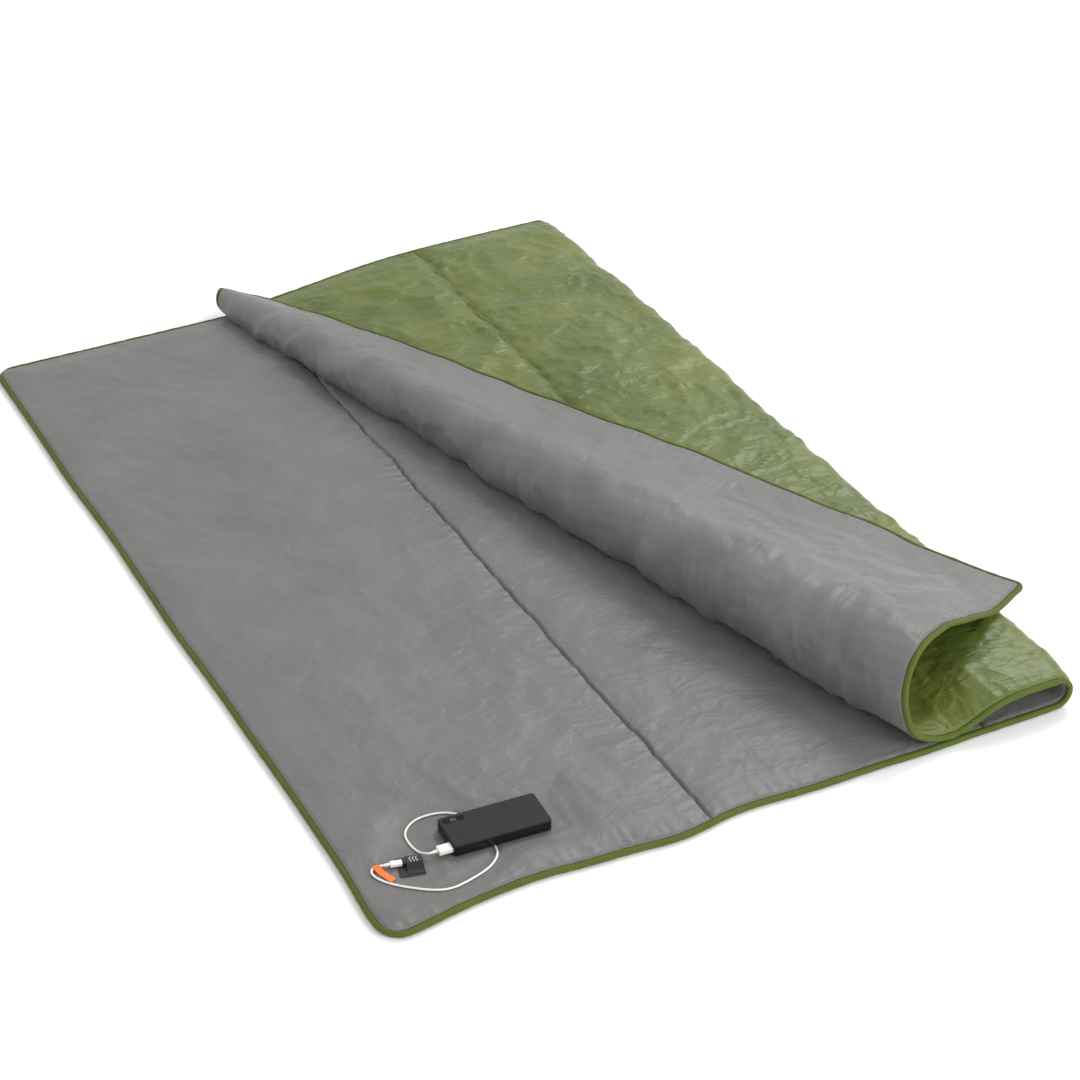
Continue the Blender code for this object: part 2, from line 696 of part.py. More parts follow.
def make_heating():
    pad_low = HALF + WADDING_HIGH + GAP
    for number, middle in enumerate(PAD_ROWS, 1):
        low = CORNER + Vector((PAD_CENTRE - PAD_WIDTH / 2, middle - PAD_LENGTH / 2, pad_low))
        size = Vector((PAD_WIDTH, PAD_LENGTH, PAD_THICKNESS))
        block(f"heating_pad_{number}", "carbon", low, low + size, corner=0.012)
    size = Vector(CUTOFF_SIZE)
    top = pad_low + PAD_THICKNESS
    low = CORNER + Vector((*CUTOFF_PLACE, top - size.z)) - Vector((size.x, size.y, 0)) / 2
    block("thermal_cutoff", "black_plastic", low, low + size, corner=0.001, segments=1)
    room = Vector((GAP, GAP, GAP))
    pocket = block("cutoff_pocket", "foam", low - room, low + size + room * 4)
    cut(bpy.data.objects["wadding_base"], as_cutter(pocket))
    level = HALF + WADDING_HIGH + HEATER_LAYER / 2
    x, y = CUTOFF_PLACE
    beside = PAD_CENTRE - PAD_WIDTH / 2 - LEAD_RADIUS - GAP * 3
    near_end, far_end = y - size.y / 2 - GAP * 2, y + size.y / 2 + GAP * 2
    first = ((0.098, 0.118), (0.101, 0.150), (0.108, 0.190), (x, near_end))
    second = ((x, far_end), (0.120, 0.280), (beside - 0.003, 0.345), (beside, 0.450))
    second += ((beside, 0.850), (beside, PAD_ROWS[-1] + PAD_LENGTH / 3))
    for name, flat in (("heater_lead_in", first), ("heater_lead_pads", second)):
        points = [CORNER + Vector((*place, level)) for place in flat]
        lead(name, smooth_route(points, 16), LEAD_RADIUS, "thread")


# ---- Sockets and plugs ----
def contact_tongue(name, start, depth, tongue, inner, place, parent):
    """The insulating block at the back of a port with its tongue reaching forward."""
    rear = 0.0012
    back = start + depth
    wide, high = inner[0] / 2 - GAP, inner[1] / 2 - GAP
    y, z, lift = *place, tongue[3]
    low = (back - rear, y - wide, z - high)
    made = block(name, "black_plastic", low, (back, y + wide, z + high), parent)
    length, width, height = tongue[:3]
    low = (back - rear - length, y - width / 2, z + lift - height / 2)
    high = (back - rear / 2, y + width / 2, z + lift + height / 2)
    reach = as_cutter(block(f"{name}_reach", "black_plastic", low, high, parent))
    step = made.modifiers.new("tongue", "BOOLEAN")
    step.operation = "UNION"
    step.object = reach


def tapered(name, kind, start, length, place, root, tip, parent):
    """A round strain relief along X, from its thin end at start to its root."""
    bm = bmesh.new()
    bmesh.ops.create_cone(
        bm, cap_ends=True, segments=16, radius1=tip, radius2=root, depth=length
    )
    bmesh.ops.rotate(bm, matrix=Matrix.Rotation(math.radians(90), 3, "Y"), verts=bm.verts)
    bmesh.ops.translate(bm, vec=(start + length / 2, *place), verts=bm.verts)
    return add_mesh(name, bm, kind, parent)


def plug_body(name, start, size, place, parent):
    """A moulded plug grip along X with rounded edges."""
    low = (start, place[0] - size[1] / 2, place[1] - size[2] / 2)
    high = (start + size[0], place[0] + size[1] / 2, place[1] + size[2] / 2)
    corner = size[2] * 0.25
    block(name, "white_plastic", low, high, parent, corner, axis=0, segments=3, soften=0.0006)


def make_small_plug(frame):
    body_start = RELIEF_LENGTH + GAP
    shell_start = body_start + TIP_BODY[0] + GAP
    size = (RELIEF_ROOT_RADIUS, RELIEF_END_RADIUS)
    tapered("tip_plug_relief", "white_plastic", 0, RELIEF_LENGTH, (0, 0), *size, frame)
    plug_body("tip_plug_body", body_start, TIP_BODY, (0, 0), frame)
    sleeve(
        "tip_plug_shell",
        "nickel",
        shell_start,
        TIP_SHELL_LENGTH,
        TIP_SHELL_WIDTH,
        TIP_SHELL_HEIGHT,
        TIP_SHELL_WALL,
        (0, 0),
        frame,
    )


def make_socket(frame):
    """The receptacle in its moulded housing, on the black patch and under the black label."""
    start = RELIEF_LENGTH + TIP_BODY[0] + 3 * GAP
    wide, high = HOUSING_WIDTH / 2, HOUSING_HEIGHT / 2
    low = (start, -wide, -high)
    size = (start + HOUSING_LENGTH, wide, high)
    housing = block("socket_housing", "black_plastic", low, size, frame, 0.001, axis=0)
    hole_wide, hole_high = CHARGE_OUTER_WIDTH / 2 + GAP, CHARGE_OUTER_HEIGHT / 2 + GAP
    low = (start - 0.001, -hole_wide, -hole_high)
    size = (start + SOCKET_DEPTH + GAP * 2, hole_wide, hole_high)
    cut(housing, as_cutter(block("socket_pocket", "foam", low, size, frame)))
    args = (SOCKET_DEPTH, CHARGE_OUTER_WIDTH, CHARGE_OUTER_HEIGHT, SOCKET_WALL, (0, 0), frame)
    sleeve("socket_shell", "nickel", start + GAP, *args)
    tongue = (0.0040, 0.0060, 0.0006, 0.0)
    inner = (SOCKET_INNER_WIDTH, SOCKET_INNER_HEIGHT)
    contact_tongue("socket_tongue", start + GAP, SOCKET_DEPTH, tongue, inner, (0, 0), frame)
    patch_low = LINING_TOP + GAP - SOCKET_MIDDLE
    low = (PATCH_START, PATCH_FRONT, patch_low)
    size = (PATCH_END, PATCH_BACK, patch_low + PATCH_THICKNESS)
    block("socket_patch", "black_cloth", low, size, frame, 0.0015, segments=2)
    on_patch = patch_low + PATCH_THICKNESS + GAP + LABEL_THICKNESS / 2
    over = high + GAP + LABEL_THICKNESS / 2
    side = wide + GAP + LABEL_THICKNESS / 2
    profile = (
        (PATCH_BACK - 0.001, on_patch),
        (side + 0.0015, on_patch),
        (side, on_patch + 0.002),
        (side, over - 0.0008),
        (side - 0.0008, over),
        (-side + 0.001, over),
        (-side - 0.006, on_patch + 0.0015),
        (-side - 0.009, on_patch),
        (LABEL_FRONT, on_patch),
    )
    end = PATCH_END - 0.001
    strip("socket_label", "black_cloth", profile, LABEL_START, end, LABEL_THICKNESS, frame)


def make_large_plug(frame):
    y, z = -PORT_OFFSET, PORT_HEIGHT
    body_start = BANK_END - GAP - PLUG_BODY[0]
    relief_start = body_start - GAP - RELIEF_LENGTH
    size = (RELIEF_ROOT_RADIUS, RELIEF_END_RADIUS)
    tapered("usb_plug_relief", "white_plastic", relief_start, RELIEF_LENGTH, (y, z), *size, frame)
    plug_body("usb_plug_body", body_start, PLUG_BODY, (y, z), frame)
    args = (PLUG_SHELL_WIDTH, PLUG_SHELL_HEIGHT, PLUG_SHELL_WALL, (y, z), frame)
    sleeve("usb_plug_shell", "nickel", BANK_END, PLUG_SHELL_LENGTH, *args)
    wide = PLUG_SHELL_WIDTH / 2 - PLUG_SHELL_WALL - GAP
    bottom = z - PLUG_SHELL_HEIGHT / 2 + PLUG_SHELL_WALL + GAP
    low = (BANK_END, y - wide, bottom)
    high = (BANK_END + PLUG_SHELL_LENGTH - 0.0007, y + wide, bottom + INSULATOR_HEIGHT)
    block("usb_plug_insulator", "white_plastic", low, high, frame)
    return Vector((relief_start - GAP, y, z))


def make_cable(bank_frame, socket_frame, plug_end):
    """The cable, and the dent it presses into the quilt under the power bank."""
    back = bank_frame.matrix_world.to_3x3() @ Vector((-1, 0, 0))
    start = bank_frame.matrix_world @ plug_end
    end = socket_frame.matrix_world @ Vector((-GAP, 0, 0))
    into = socket_frame.matrix_world.to_3x3() @ Vector((1, 0, 0))
    level = CORNER + Vector((0, 0, LINING_TOP))
    route = [level + Vector(place) for place in CABLE_ROUTE]
    points = [start, start + back * 0.003, *route, end - into * 0.004, end]
    lead("cable", smooth_route(points, 80), CABLE_RADIUS, "white_plastic")
    make_tag(points[-3], points[-2])
    dent = smooth_route(route[DENT_FROM : DENT_TO + 1], 28)
    radius = CABLE_RADIUS + CHANNEL_CLEARANCE
    rings = [tube_ring(dent, k, radius, 10) for k in range(len(dent))]
    cutter = as_cutter(sweep("cable_dent", "foam", rings))
    for name in ("lining_base", "wadding_base"):
        cut(bpy.data.objects[name], cutter)


def tube_ring(route, k, radius, sides):
    run = (route[min(k + 1, len(route) - 1)] - route[max(k - 1, 0)]).normalized()
    side = run.cross(Vector((0, 0, 1))).normalized()
    up = side.cross(run)
    angles = [math.tau * step / sides for step in range(sides)]
    return [route[k] + (side * math.cos(a) + up * math.sin(a)) * radius for a in angles]


def make_tag(before, after):
    """A folded orange ribbon looped round the cable between two of its points."""
    width = (after - before).normalized()
    centre = before.lerp(after, TAG_SHARE)
    side = Vector((width.y, -width.x, 0)).normalized()
    above = side.cross(width)
    above *= 1 if above.z > 0 else -1
    turn = math.radians(TAG_TURN)
    out = Vector((math.cos(turn), math.sin(turn), 0))
    flat_width = Vector((-out.y, out.x, 0))
    loop = CABLE_RADIUS + GAP * 3 + TAG_PLY / 2
    low = Vector((0, 0, LINING_TOP + GAP + TAG_PLY / 2 - centre.z))
    high = low + Vector((0, 0, TAG_PLY + GAP * 2))
    angles = [math.radians(a) for a in range(-60, -301, -30)]
    around = [side * (loop * math.cos(a)) + above * (loop * math.sin(a)) for a in angles]
    near, far = out * 0.009, out * TAG_LENGTH
    places = [far + low, near + low, *around, near + high, far + high]
    widths = [flat_width] * 2 + [width] * len(around) + [flat_width] * 2
    bm = bmesh.new()
    for vert, column, row in grid_points(bm, len(places) - 1, 1):
        vert.co = centre + places[column] + widths[column] * (TAG_WIDTH * (row - 0.5))
    part = add_mesh("orange_tag", bm, "tag")
    solidify = part.modifiers.new("thickness", "SOLIDIFY")
    solidify.thickness = TAG_PLY
    solidify.offset = 0.0
    solidify.use_even_offset = True


# ---- Power bank ----
def tray(name, kind, low, high, open_side, parent):
    """A moulded half case: a box open above (1) or below (-1), given its wall inwards."""
    bm = bmesh.new()
    bmesh.ops.create_cube(bm, size=1.0)
    size = Vector(high) - Vector(low)
    bmesh.ops.scale(bm, vec=size, verts=bm.verts)
    bmesh.ops.translate(bm, vec=(Vector(high) + Vector(low)) / 2, verts=bm.verts)
    bevel_edges(bm, [e for e in bm.edges if along_axis(e, 2)], BANK_CORNER, 3)
    closed = [f for f in bm.faces if f.normal.z * open_side < -0.9]
    bevel_edges(bm, list(closed[0].edges), BANK_CHAMFER, 1)
    mouth = [f for f in bm.faces if f.normal.z * open_side > 0.9]
    bmesh.ops.delete(bm, geom=mouth, context="FACES_ONLY")
    part = add_mesh(name, bm, kind, parent)
    solidify = part.modifiers.new("wall", "SOLIDIFY")
    solidify.thickness = BANK_WALL
    solidify.offset = -1.0
    solidify.use_even_offset = True
    return part


def port_hole(name, y, width, height, frame):
    wide, high = width / 2 + GAP, height / 2 + GAP
    low = (BANK_END - 0.001, y - wide, PORT_HEIGHT - high)
    size = (BANK_END + BANK_WALL + 0.001, y + wide, PORT_HEIGHT + high)
    return as_cutter(block(name, "foam", low, size, frame))


def make_ports(case, frame):
    tongue = (*PORT_TONGUE, 0.0009)
    inner = (PORT_INNER_WIDTH, PORT_INNER_HEIGHT)
    start = BANK_END + GAP
    for number, y in enumerate((-PORT_OFFSET, PORT_OFFSET), 1):
        cut(case, port_hole(f"port_hole_{number}", y, PORT_OUTER_WIDTH, PORT_OUTER_HEIGHT, frame))
        args = (PORT_OUTER_WIDTH, PORT_OUTER_HEIGHT, PORT_WALL, (y, PORT_HEIGHT), frame)
        sleeve(f"usb_port_{number}_shell", "nickel", start, PORT_DEPTH, *args)
        name = f"usb_port_{number}_tongue"
        contact_tongue(name, start, PORT_DEPTH, tongue, inner, (y, PORT_HEIGHT), frame)
    cut(case, port_hole("charge_hole", 0.0, CHARGE_OUTER_WIDTH, CHARGE_OUTER_HEIGHT, frame))
    args = (CHARGE_OUTER_WIDTH, CHARGE_OUTER_HEIGHT, PORT_WALL, (0.0, PORT_HEIGHT), frame)
    sleeve("charge_port_shell", "nickel", start, CHARGE_PORT_DEPTH, *args)
    tongue = (0.0045, 0.0060, 0.0007, 0.0)
    inner = (SOCKET_INNER_WIDTH, SOCKET_INNER_HEIGHT)
    args = (CHARGE_PORT_DEPTH, tongue, inner, (0.0, PORT_HEIGHT), frame)
    contact_tongue("charge_port_tongue", start, *args)


def make_display(cover, frame):
    x, y = WINDOW_PLACE
    wide, deep = WINDOW_LENGTH / 2, WINDOW_WIDTH / 2
    low = (x - wide - GAP, y - deep - GAP, BANK_HEIGHT - BANK_WALL - 0.001)
    high = (x + wide + GAP, y + deep + GAP, BANK_HEIGHT + 0.001)
    cut(cover, as_cutter(block("window_hole", "foam", low, high, frame)))
    top = BANK_HEIGHT - GAP / 2
    low = (x - wide, y - deep, top - WINDOW_THICKNESS)
    block("display_window", "clear_plastic", low, (x + wide, y + deep, top), frame)
    size = Vector(DISPLAY_SIZE)
    top = top - WINDOW_THICKNESS - GAP
    low = Vector((x, y, top)) - Vector((size.x / 2, size.y / 2, size.z))
    block("display_module", "board", low, low + size, frame)


def make_button(case, frame):
    outer = BANK_WIDTH / 2
    middle = (BUTTON_PLACE, outer - BANK_WALL / 2, PORT_HEIGHT - 0.0005)
    button_frame = bpy.data.objects.new("button_frame", None)
    button_frame.location = middle
    button_frame.parent = frame
    parts.objects.link(button_frame)
    wide, high = BUTTON_LENGTH / 2, BUTTON_HEIGHT / 2
    face, back = BANK_WALL / 2 + BUTTON_PROUD, -BANK_WALL / 2 - GAP
    low, top = (-wide, back - 0.0001, -high), (wide, face, high)
    button = block("power_button", "black_plastic", low, top, button_frame, 0.0008, 1, 2)
    rim = 0.0012
    low = (-wide - rim, back - BUTTON_FLANGE, -high - rim)
    flange = block("button_flange", "foam", low, (wide + rim, back, high + rim), button_frame)
    step = button.modifiers.new("flange", "BOOLEAN")
    step.operation = "UNION"
    step.object = as_cutter(flange)
    low = (-wide - GAP, -BANK_WALL, -high - GAP)
    hole = block("button_hole", "foam", low, (wide + GAP, BANK_WALL, high + GAP), button_frame)
    cut(case, as_cutter(hole))
    switch_face = outer - BANK_WALL - GAP - BUTTON_FLANGE - BUTTON_TRAVEL - GAP
    board_top = PORT_HEIGHT - PORT_OUTER_HEIGHT / 2 - GAP
    low = (BUTTON_PLACE - 0.003, switch_face - 0.0022, board_top + GAP)
    high = (BUTTON_PLACE + 0.003, switch_face, middle[2] + high)
    block("button_switch", "nickel", low, high, frame)


def make_board_and_cells(frame):
    room = BANK_WALL + GAP
    top = PORT_HEIGHT - PORT_OUTER_HEIGHT / 2 - GAP
    wide = BANK_WIDTH / 2 - BANK_WALL - 0.0022
    low = (BANK_END + room, -wide, top - BOARD_THICKNESS)
    high = (BANK_END + room + BOARD_LENGTH, wide, top)
    block("circuit_board", "board", low, high, frame)
    start = BANK_END + room + BOARD_LENGTH + CELL_TO_BOARD
    end = -BANK_END - BANK_WALL - CELL_CLEARANCE
    wide = BANK_WIDTH / 2 - BANK_WALL - CELL_CLEARANCE
    height = (BANK_HEIGHT - 2 * BANK_WALL - 4 * GAP - FOAM_HEIGHT) / 2
    level = BANK_WALL + GAP
    for number in (1, 2):
        low, high = (start, -wide, level), (end, wide, level + height)
        block(f"battery_cell_{number}", "cell", low, high, frame, 0.002, axis=0, segments=2)
        level += height + GAP
    margin = (end - start) / 6
    low = (start + margin, -wide + margin, level)
    high = (end - margin, wide - margin, level + FOAM_HEIGHT)
    block("cell_foam", "foam", low, high, frame)


def make_bank(frame):
    wide = BANK_WIDTH / 2
    low, high = (BANK_END, -wide, 0.0), (-BANK_END, wide, BANK_SPLIT)
    case = tray("bank_case", "black_plastic", low, high, 1, frame)
    low, high = (BANK_END, -wide, BANK_SPLIT + GAP), (-BANK_END, wide, BANK_HEIGHT)
    cover = tray("bank_cover", "pebbled_plastic", low, high, -1, frame)
    make_ports(case, frame)
    make_display(cover, frame)
    make_button(case, frame)
    make_board_and_cells(frame)


clear_scene()
parts = new_collection("heated_camping_quilt")
cutters = new_collection("cutters")
make_layers()
make_base_binding()
make_folded_bindings()
make_seams()
make_heating()
bank_frame = add_frame("bank_frame", BANK_PLACE, BANK_TURN, BANK_FLOOR)
socket_frame = add_frame("socket_frame", SOCKET_PLACE, SOCKET_TURN, SOCKET_MIDDLE)
make_bank(bank_frame)
plug_end = make_large_plug(bank_frame)
make_small_plug(socket_frame)
make_socket(socket_frame)
make_cable(bank_frame, socket_frame, plug_end)
hang_folded_parts()
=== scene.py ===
"""A heated camping quilt with a green outside and a grey lining, one side folded over and its
corner turned back, with a power bank and its cable on the near corner. Laid out as an add-on and
run as a script. Metres, +Z up."""

import math

import bmesh
import bpy
import numpy as np
from mathutils import Matrix, Vector


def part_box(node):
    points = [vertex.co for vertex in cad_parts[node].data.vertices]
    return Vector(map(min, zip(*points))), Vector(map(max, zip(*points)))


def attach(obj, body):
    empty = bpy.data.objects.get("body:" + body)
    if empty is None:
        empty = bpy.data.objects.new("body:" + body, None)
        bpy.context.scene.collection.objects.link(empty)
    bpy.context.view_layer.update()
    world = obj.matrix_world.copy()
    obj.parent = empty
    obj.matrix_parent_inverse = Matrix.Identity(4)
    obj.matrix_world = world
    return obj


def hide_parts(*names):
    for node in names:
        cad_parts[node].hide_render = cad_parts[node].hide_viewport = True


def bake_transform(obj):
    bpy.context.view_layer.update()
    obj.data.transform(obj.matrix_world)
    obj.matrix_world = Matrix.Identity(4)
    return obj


bl_info = {
    "name": "Heated camping quilt",
    "version": (1, 0, 0),
    "blender": (4, 5, 0),
    "location": "View3D > Sidebar > Quilt",
    "description": "Builds the look of a folded heated quilt round its packed solids",
    "category": "Object",
}

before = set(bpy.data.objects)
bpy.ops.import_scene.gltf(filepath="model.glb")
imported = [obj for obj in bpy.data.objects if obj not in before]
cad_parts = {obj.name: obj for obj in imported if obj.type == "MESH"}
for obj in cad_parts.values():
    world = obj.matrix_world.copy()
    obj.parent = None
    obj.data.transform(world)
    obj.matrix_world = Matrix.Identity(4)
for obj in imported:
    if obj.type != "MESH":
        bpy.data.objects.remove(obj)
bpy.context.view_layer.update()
MM = 0.001

# ---- Sizes shared with the solids ----
SHEET_WIDTH = 1.880
SHEET_LENGTH = 1.680
HALF = 0.005
BASE_WIDTH = 1.080
FOLD_RADIUS = 0.023
ROLL_NEAR = 0.185
ROLL_FAR = 0.620
ROLL_RADIUS_NEAR = 0.072
ROLL_RADIUS_FAR = 0.024
ROLL_TAPER = 1.4
SAG_POWER = 3.0
REST_GAP = 0.0012
CORNER_RADIUS = 0.035
FREE_CORNER_RADIUS = 0.014
SEAMS = (0.500, 0.955, 1.410)
FOLD_ARC = math.pi * FOLD_RADIUS
FOLD_TOP = HALF + 2 * FOLD_RADIUS
ROLL_FOOT = HALF * 3 + REST_GAP
LINE_LENGTH = math.hypot(ROLL_FAR - ROLL_NEAR, SHEET_LENGTH)
ALONG = ((ROLL_FAR - ROLL_NEAR) / LINE_LENGTH, SHEET_LENGTH / LINE_LENGTH)
ACROSS = (ALONG[1], -ALONG[0])
CORNER = np.array((-BASE_WIDTH / 2, -SHEET_LENGTH / 2, 0.0))
TAPE = 0.0045  # half the width of the bound edge
BENDS_PAST_LINE = 0.012  # how far past the roll's top line the turned-back part bends
HELD_WITHIN = 0.012  # how near its edge the cloth comes down to the tape
HELD_LIFT = 0.0028  # half the thickness of the cloths under the tape
# Widths that the faces of each stretch are counted by
MESHED_WIDTHS = {
    "base": BASE_WIDTH, "fold": FOLD_ARC, "flap": 0.52, "roll": 0.11, "turnback": 0.34,
}

# ---- Cable ----
LINING_TOP = 2 * HALF
CABLE_DIAMETER = 0.003
CABLE_START = (0.1190, 0.1087, 0.0093)
CABLE_ROUTE = (
    (0.1128, 0.1120, 0.0078), (0.1078, 0.1215, 0.0040), (0.1047, 0.1345, 0.0019),
    (0.1032, 0.1490, 0.0018), (0.1046, 0.1640, 0.0018), (0.1110, 0.1765, 0.0018),
    (0.1230, 0.1868, 0.0018), (0.1380, 0.1922, 0.0018), (0.1550, 0.1925, 0.0018),
    (0.1710, 0.1885, 0.0018), (0.1850, 0.1808, 0.0012), (0.1950, 0.1705, -0.0008),
    (0.2010, 0.1590, -0.0017), (0.2055, 0.1400, -0.0017), (0.2075, 0.1200, -0.0017),
    (0.2075, 0.1000, -0.0017), (0.2060, 0.0870, -0.0015), (0.2020, 0.0760, 0.0006),
    (0.1950, 0.0660, 0.0018), (0.1830, 0.0562, 0.0018), (0.1680, 0.0490, 0.0018),
    (0.1500, 0.0435, 0.0018), (0.1340, 0.0398, 0.0018), (0.1185, 0.0378, 0.0018),
    (0.1030, 0.0405, 0.0018), (0.0870, 0.0485, 0.0018), (0.0725, 0.0590, 0.0018),
    (0.0600, 0.0695, 0.0018), (0.0488, 0.0805, 0.0018), (0.0393, 0.0925, 0.0018),
    (0.0330, 0.1050, 0.0020), (0.0318, 0.1150, 0.0030), (0.0370, 0.1212, 0.0044),
)
CABLE_END = (0.0515, 0.1195, 0.0049)
BANK_LENGTH = 0.145
BANK_WIDTH = 0.067
BANK_TURN = math.radians(-3.5)
BANK_SLIDES = 0.018  # room kept for the bank's travel along the lining
BANK_CORNER = (0.42, 0.32)  # the corner of the quilt that holds the bank, cable and tab
TAB_TURN = math.radians(-14)
TAB_PLACE = (0.085, 0.108)
TAB_REACH = 0.030
DENT = (10, 18)  # route points where the cable lies pressed into the quilt


# ---- Colours, nodes and materials ----
def linear(code):
    """An sRGB hex colour as linear red, green, blue and alpha."""
    values = [int(code[k : k + 2], 16) / 255 for k in (0, 2, 4)]
    return [v / 12.92 if v <= 0.04045 else ((v + 0.055) / 1.055) ** 2.4 for v in values] + [1.0]


def add_node(tree, kind, inputs=None, **settings):
    """A node with its settings; each input is a value or the output it is linked from."""
    node = tree.nodes.new(kind)
    for key, value in settings.items():
        setattr(node, key, value)
    for key, value in (inputs or {}).items():
        if isinstance(value, bpy.types.NodeSocket):
            tree.links.new(value, node.inputs[key])
        else:
            node.inputs[key].default_value = value
    return node


def new_material(name, code, roughness, metallic=0.0, ior=1.5, **sockets):
    made = bpy.data.materials.new(name)
    made.use_nodes = True
    shader = made.node_tree.nodes["Principled BSDF"]
    shader.inputs["Base Color"].default_value = linear(code)
    shader.inputs["Roughness"].default_value = roughness
    shader.inputs["Metallic"].default_value = metallic
    shader.inputs["IOR"].default_value = ior
    for key, value in sockets.items():
        shader.inputs[key.replace("_", " ").title().replace("Ior", "IOR")].default_value = value
    return made, made.node_tree, shader


def noise(tree, place, size, detail, kind="FBM", **inputs):
    """Noise with features of a size in metres."""
    inputs = {"Vector": place, "Scale": 1 / size, "Detail": detail, **inputs}
    return add_node(tree, "ShaderNodeTexNoise", inputs, noise_type=kind).outputs


def waves(tree, place, apart, distortion, **settings):
    """Stripes a distance apart in metres."""
    inputs = {"Vector": place, "Scale": 1 / apart / 20, "Distortion": distortion}
    return add_node(tree, "ShaderNodeTexWave", inputs, **settings).outputs["Fac"]


def map_range(tree, value, low, high, start=0.0, end=1.0, **settings):
    """A value from start to end laid out between low and high."""
    inputs = {"Value": value, "From Min": start, "From Max": end, "To Min": low, "To Max": high}
    return add_node(tree, "ShaderNodeMapRange", inputs, **settings).outputs["Result"]


def reckon(tree, operation, *values):
    inputs = dict(enumerate(values))
    return add_node(tree, "ShaderNodeMath", inputs, operation=operation).outputs[0]


def shift(tree, operation, *values):
    inputs = dict(enumerate(values))
    made = add_node(tree, "ShaderNodeVectorMath", inputs, operation=operation)
    return made.outputs["Vector"]


def mix_colours(tree, share, low, high):
    inputs = {"Factor": share, "A": low, "B": high}
    return add_node(tree, "ShaderNodeMix", inputs, data_type="RGBA").outputs["Result"]


def add_bump(tree, height, strength, distance, over=None):
    """A bumped normal, on top of another one if it is given."""
    inputs = {"Height": height, "Strength": strength, "Distance": distance}
    if over is not None:
        inputs["Normal"] = over
    return add_node(tree, "ShaderNodeBump", inputs).outputs["Normal"]


def feed(shader, **sockets):
    """Links outputs to a shader's inputs; base_color stands for Base Color."""
    for key, value in sockets.items():
        shader.id_data.links.new(value, shader.inputs[key.replace("_", " ").title()])


def cloth_satin(name, code, dark, light, roughness, creased):
    """Calendered polyester satin: filament yarns lie flat, so it shines softly and shows creases.

    The yarns are 0.15 mm apart, too fine to show; the weave is drawn at 1.5 mm."""
    made, tree, shader = new_material(
        name, code, roughness, sheen_weight=0.10, sheen_roughness=0.35
    )
    flat = add_node(tree, "ShaderNodeUVMap", uv_map="flat").outputs["UV"]
    patches = noise(tree, flat, 0.16, 4.0)["Fac"]
    ramp = add_node(tree, "ShaderNodeValToRGB", {"Fac": patches})
    for element, place, shade in zip(ramp.color_ramp.elements, (0.32, 0.70), (dark, light)):
        element.position = place
        element.color = linear(shade)
    drawn = shift(tree, "MULTIPLY", flat, (1.0, 1.9, 1.0))
    creases = noise(
        tree, drawn, 0.060, 3.0, "RIDGED_MULTIFRACTAL", Distortion=1.1, Offset=0.9, Gain=2.0
    )
    crumple = add_bump(tree, creases["Fac"], 0.5 * creased, 1.4 * MM)
    # Pressed lines: borders of cells, bent by a slow noise, in some places only
    bend = noise(tree, flat, 0.09, 2.0)["Color"]
    bent = shift(tree, "MULTIPLY_ADD", bend, (0.11, 0.11, 0.0), flat)
    lines = add_node(
        tree,
        "ShaderNodeTexVoronoi",
        {"Vector": bent, "Scale": 1 / 0.085},
        feature="DISTANCE_TO_EDGE",
    )
    valley = map_range(
        tree, lines.outputs["Distance"], 0.0, 1.0, 0.0, 0.05, interpolation_type="SMOOTHSTEP"
    )
    some = map_range(tree, noise(tree, flat, 0.12, 1.0)["Fac"], 0.0, 0.55 * creased, 0.5, 0.62)
    pressed = add_bump(tree, valley, some, 0.7 * MM, crumple)
    weave = waves(tree, flat, 1.5 * MM, 0.3, bands_direction="DIAGONAL")
    feed(
        shader,
        base_color=ramp.outputs["Color"],
        roughness=map_range(tree, patches, roughness - 0.05, roughness + 0.07),
        normal=add_bump(tree, weave, 0.10, 0.15 * MM, pressed),
    )
    return made


def binding_tape(name, code, dark, thread):
    """Folded polyester twill tape, dull and ribbed, with one row of lockstitch near its inner edge;
    the stitches' dark dashes also paint the shade where the cloth puckers at them.

    Its UV map runs along the tape in u and round it in v, both in metres."""
    made, tree, shader = new_material(name, code, 0.72, specular_ior_level=0.3)
    flat = add_node(tree, "ShaderNodeUVMap", uv_map="flat").outputs["UV"]
    parts = add_node(tree, "ShaderNodeSeparateXYZ", {"Vector": flat}).outputs
    patches = noise(tree, flat, 0.030, 4.0)["Fac"]
    shade = mix_colours(tree, patches, linear(dark), linear(code))
    inward = reckon(tree, "PINGPONG", parts["Y"], TAPE_ROUND / 2)
    # Dark dashes on the stitch row: the stitching, and painted shade where the cloth puckers at the
    # stitches
    part = reckon(tree, "FRACT", reckon(tree, "MULTIPLY", parts["X"], 1 / (5.5 * MM)))
    dash = reckon(tree, "LESS_THAN", part, 0.62)
    row = reckon(tree, "COMPARE", inward, STITCH_ROW, 0.9 * MM)
    stitches_and_pucker_shade = reckon(tree, "MULTIPLY", dash, row)
    feed(
        shader,
        base_color=mix_colours(tree, stitches_and_pucker_shade, shade, linear(thread)),
        normal=add_bump(tree, waves(tree, flat, 1.1 * MM, 0.4), 0.35, 0.3 * MM),
    )
    return made


def grained(
    name, code, roughness, grain, depth, unevenness=0.06, texture="ShaderNodeTexNoise", **sockets
):
    """A finish with an even grain: its size and depth in mm, and its unevenness in roughness."""
    made, tree, shader = new_material(name, code, roughness, **sockets)
    place = add_node(tree, "ShaderNodeTexCoord").outputs["Object"]
    fine = add_node(tree, texture, {"Vector": place, "Scale": 1 / (grain * MM)})
    height = fine.outputs.get("Fac") or fine.outputs["Distance"]
    wear = noise(tree, place, 0.02, 3.0)["Fac"]
    feed(
        shader,
        roughness=map_range(tree, wear, roughness - unevenness, roughness + unevenness),
        normal=add_bump(tree, height, 0.6, depth * MM),
    )
    return made


def dress(nodes, made):
    """Gives CAD nodes a material in place of their plain one."""
    for name in nodes:
        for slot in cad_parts[name].material_slots:
            slot.material = made


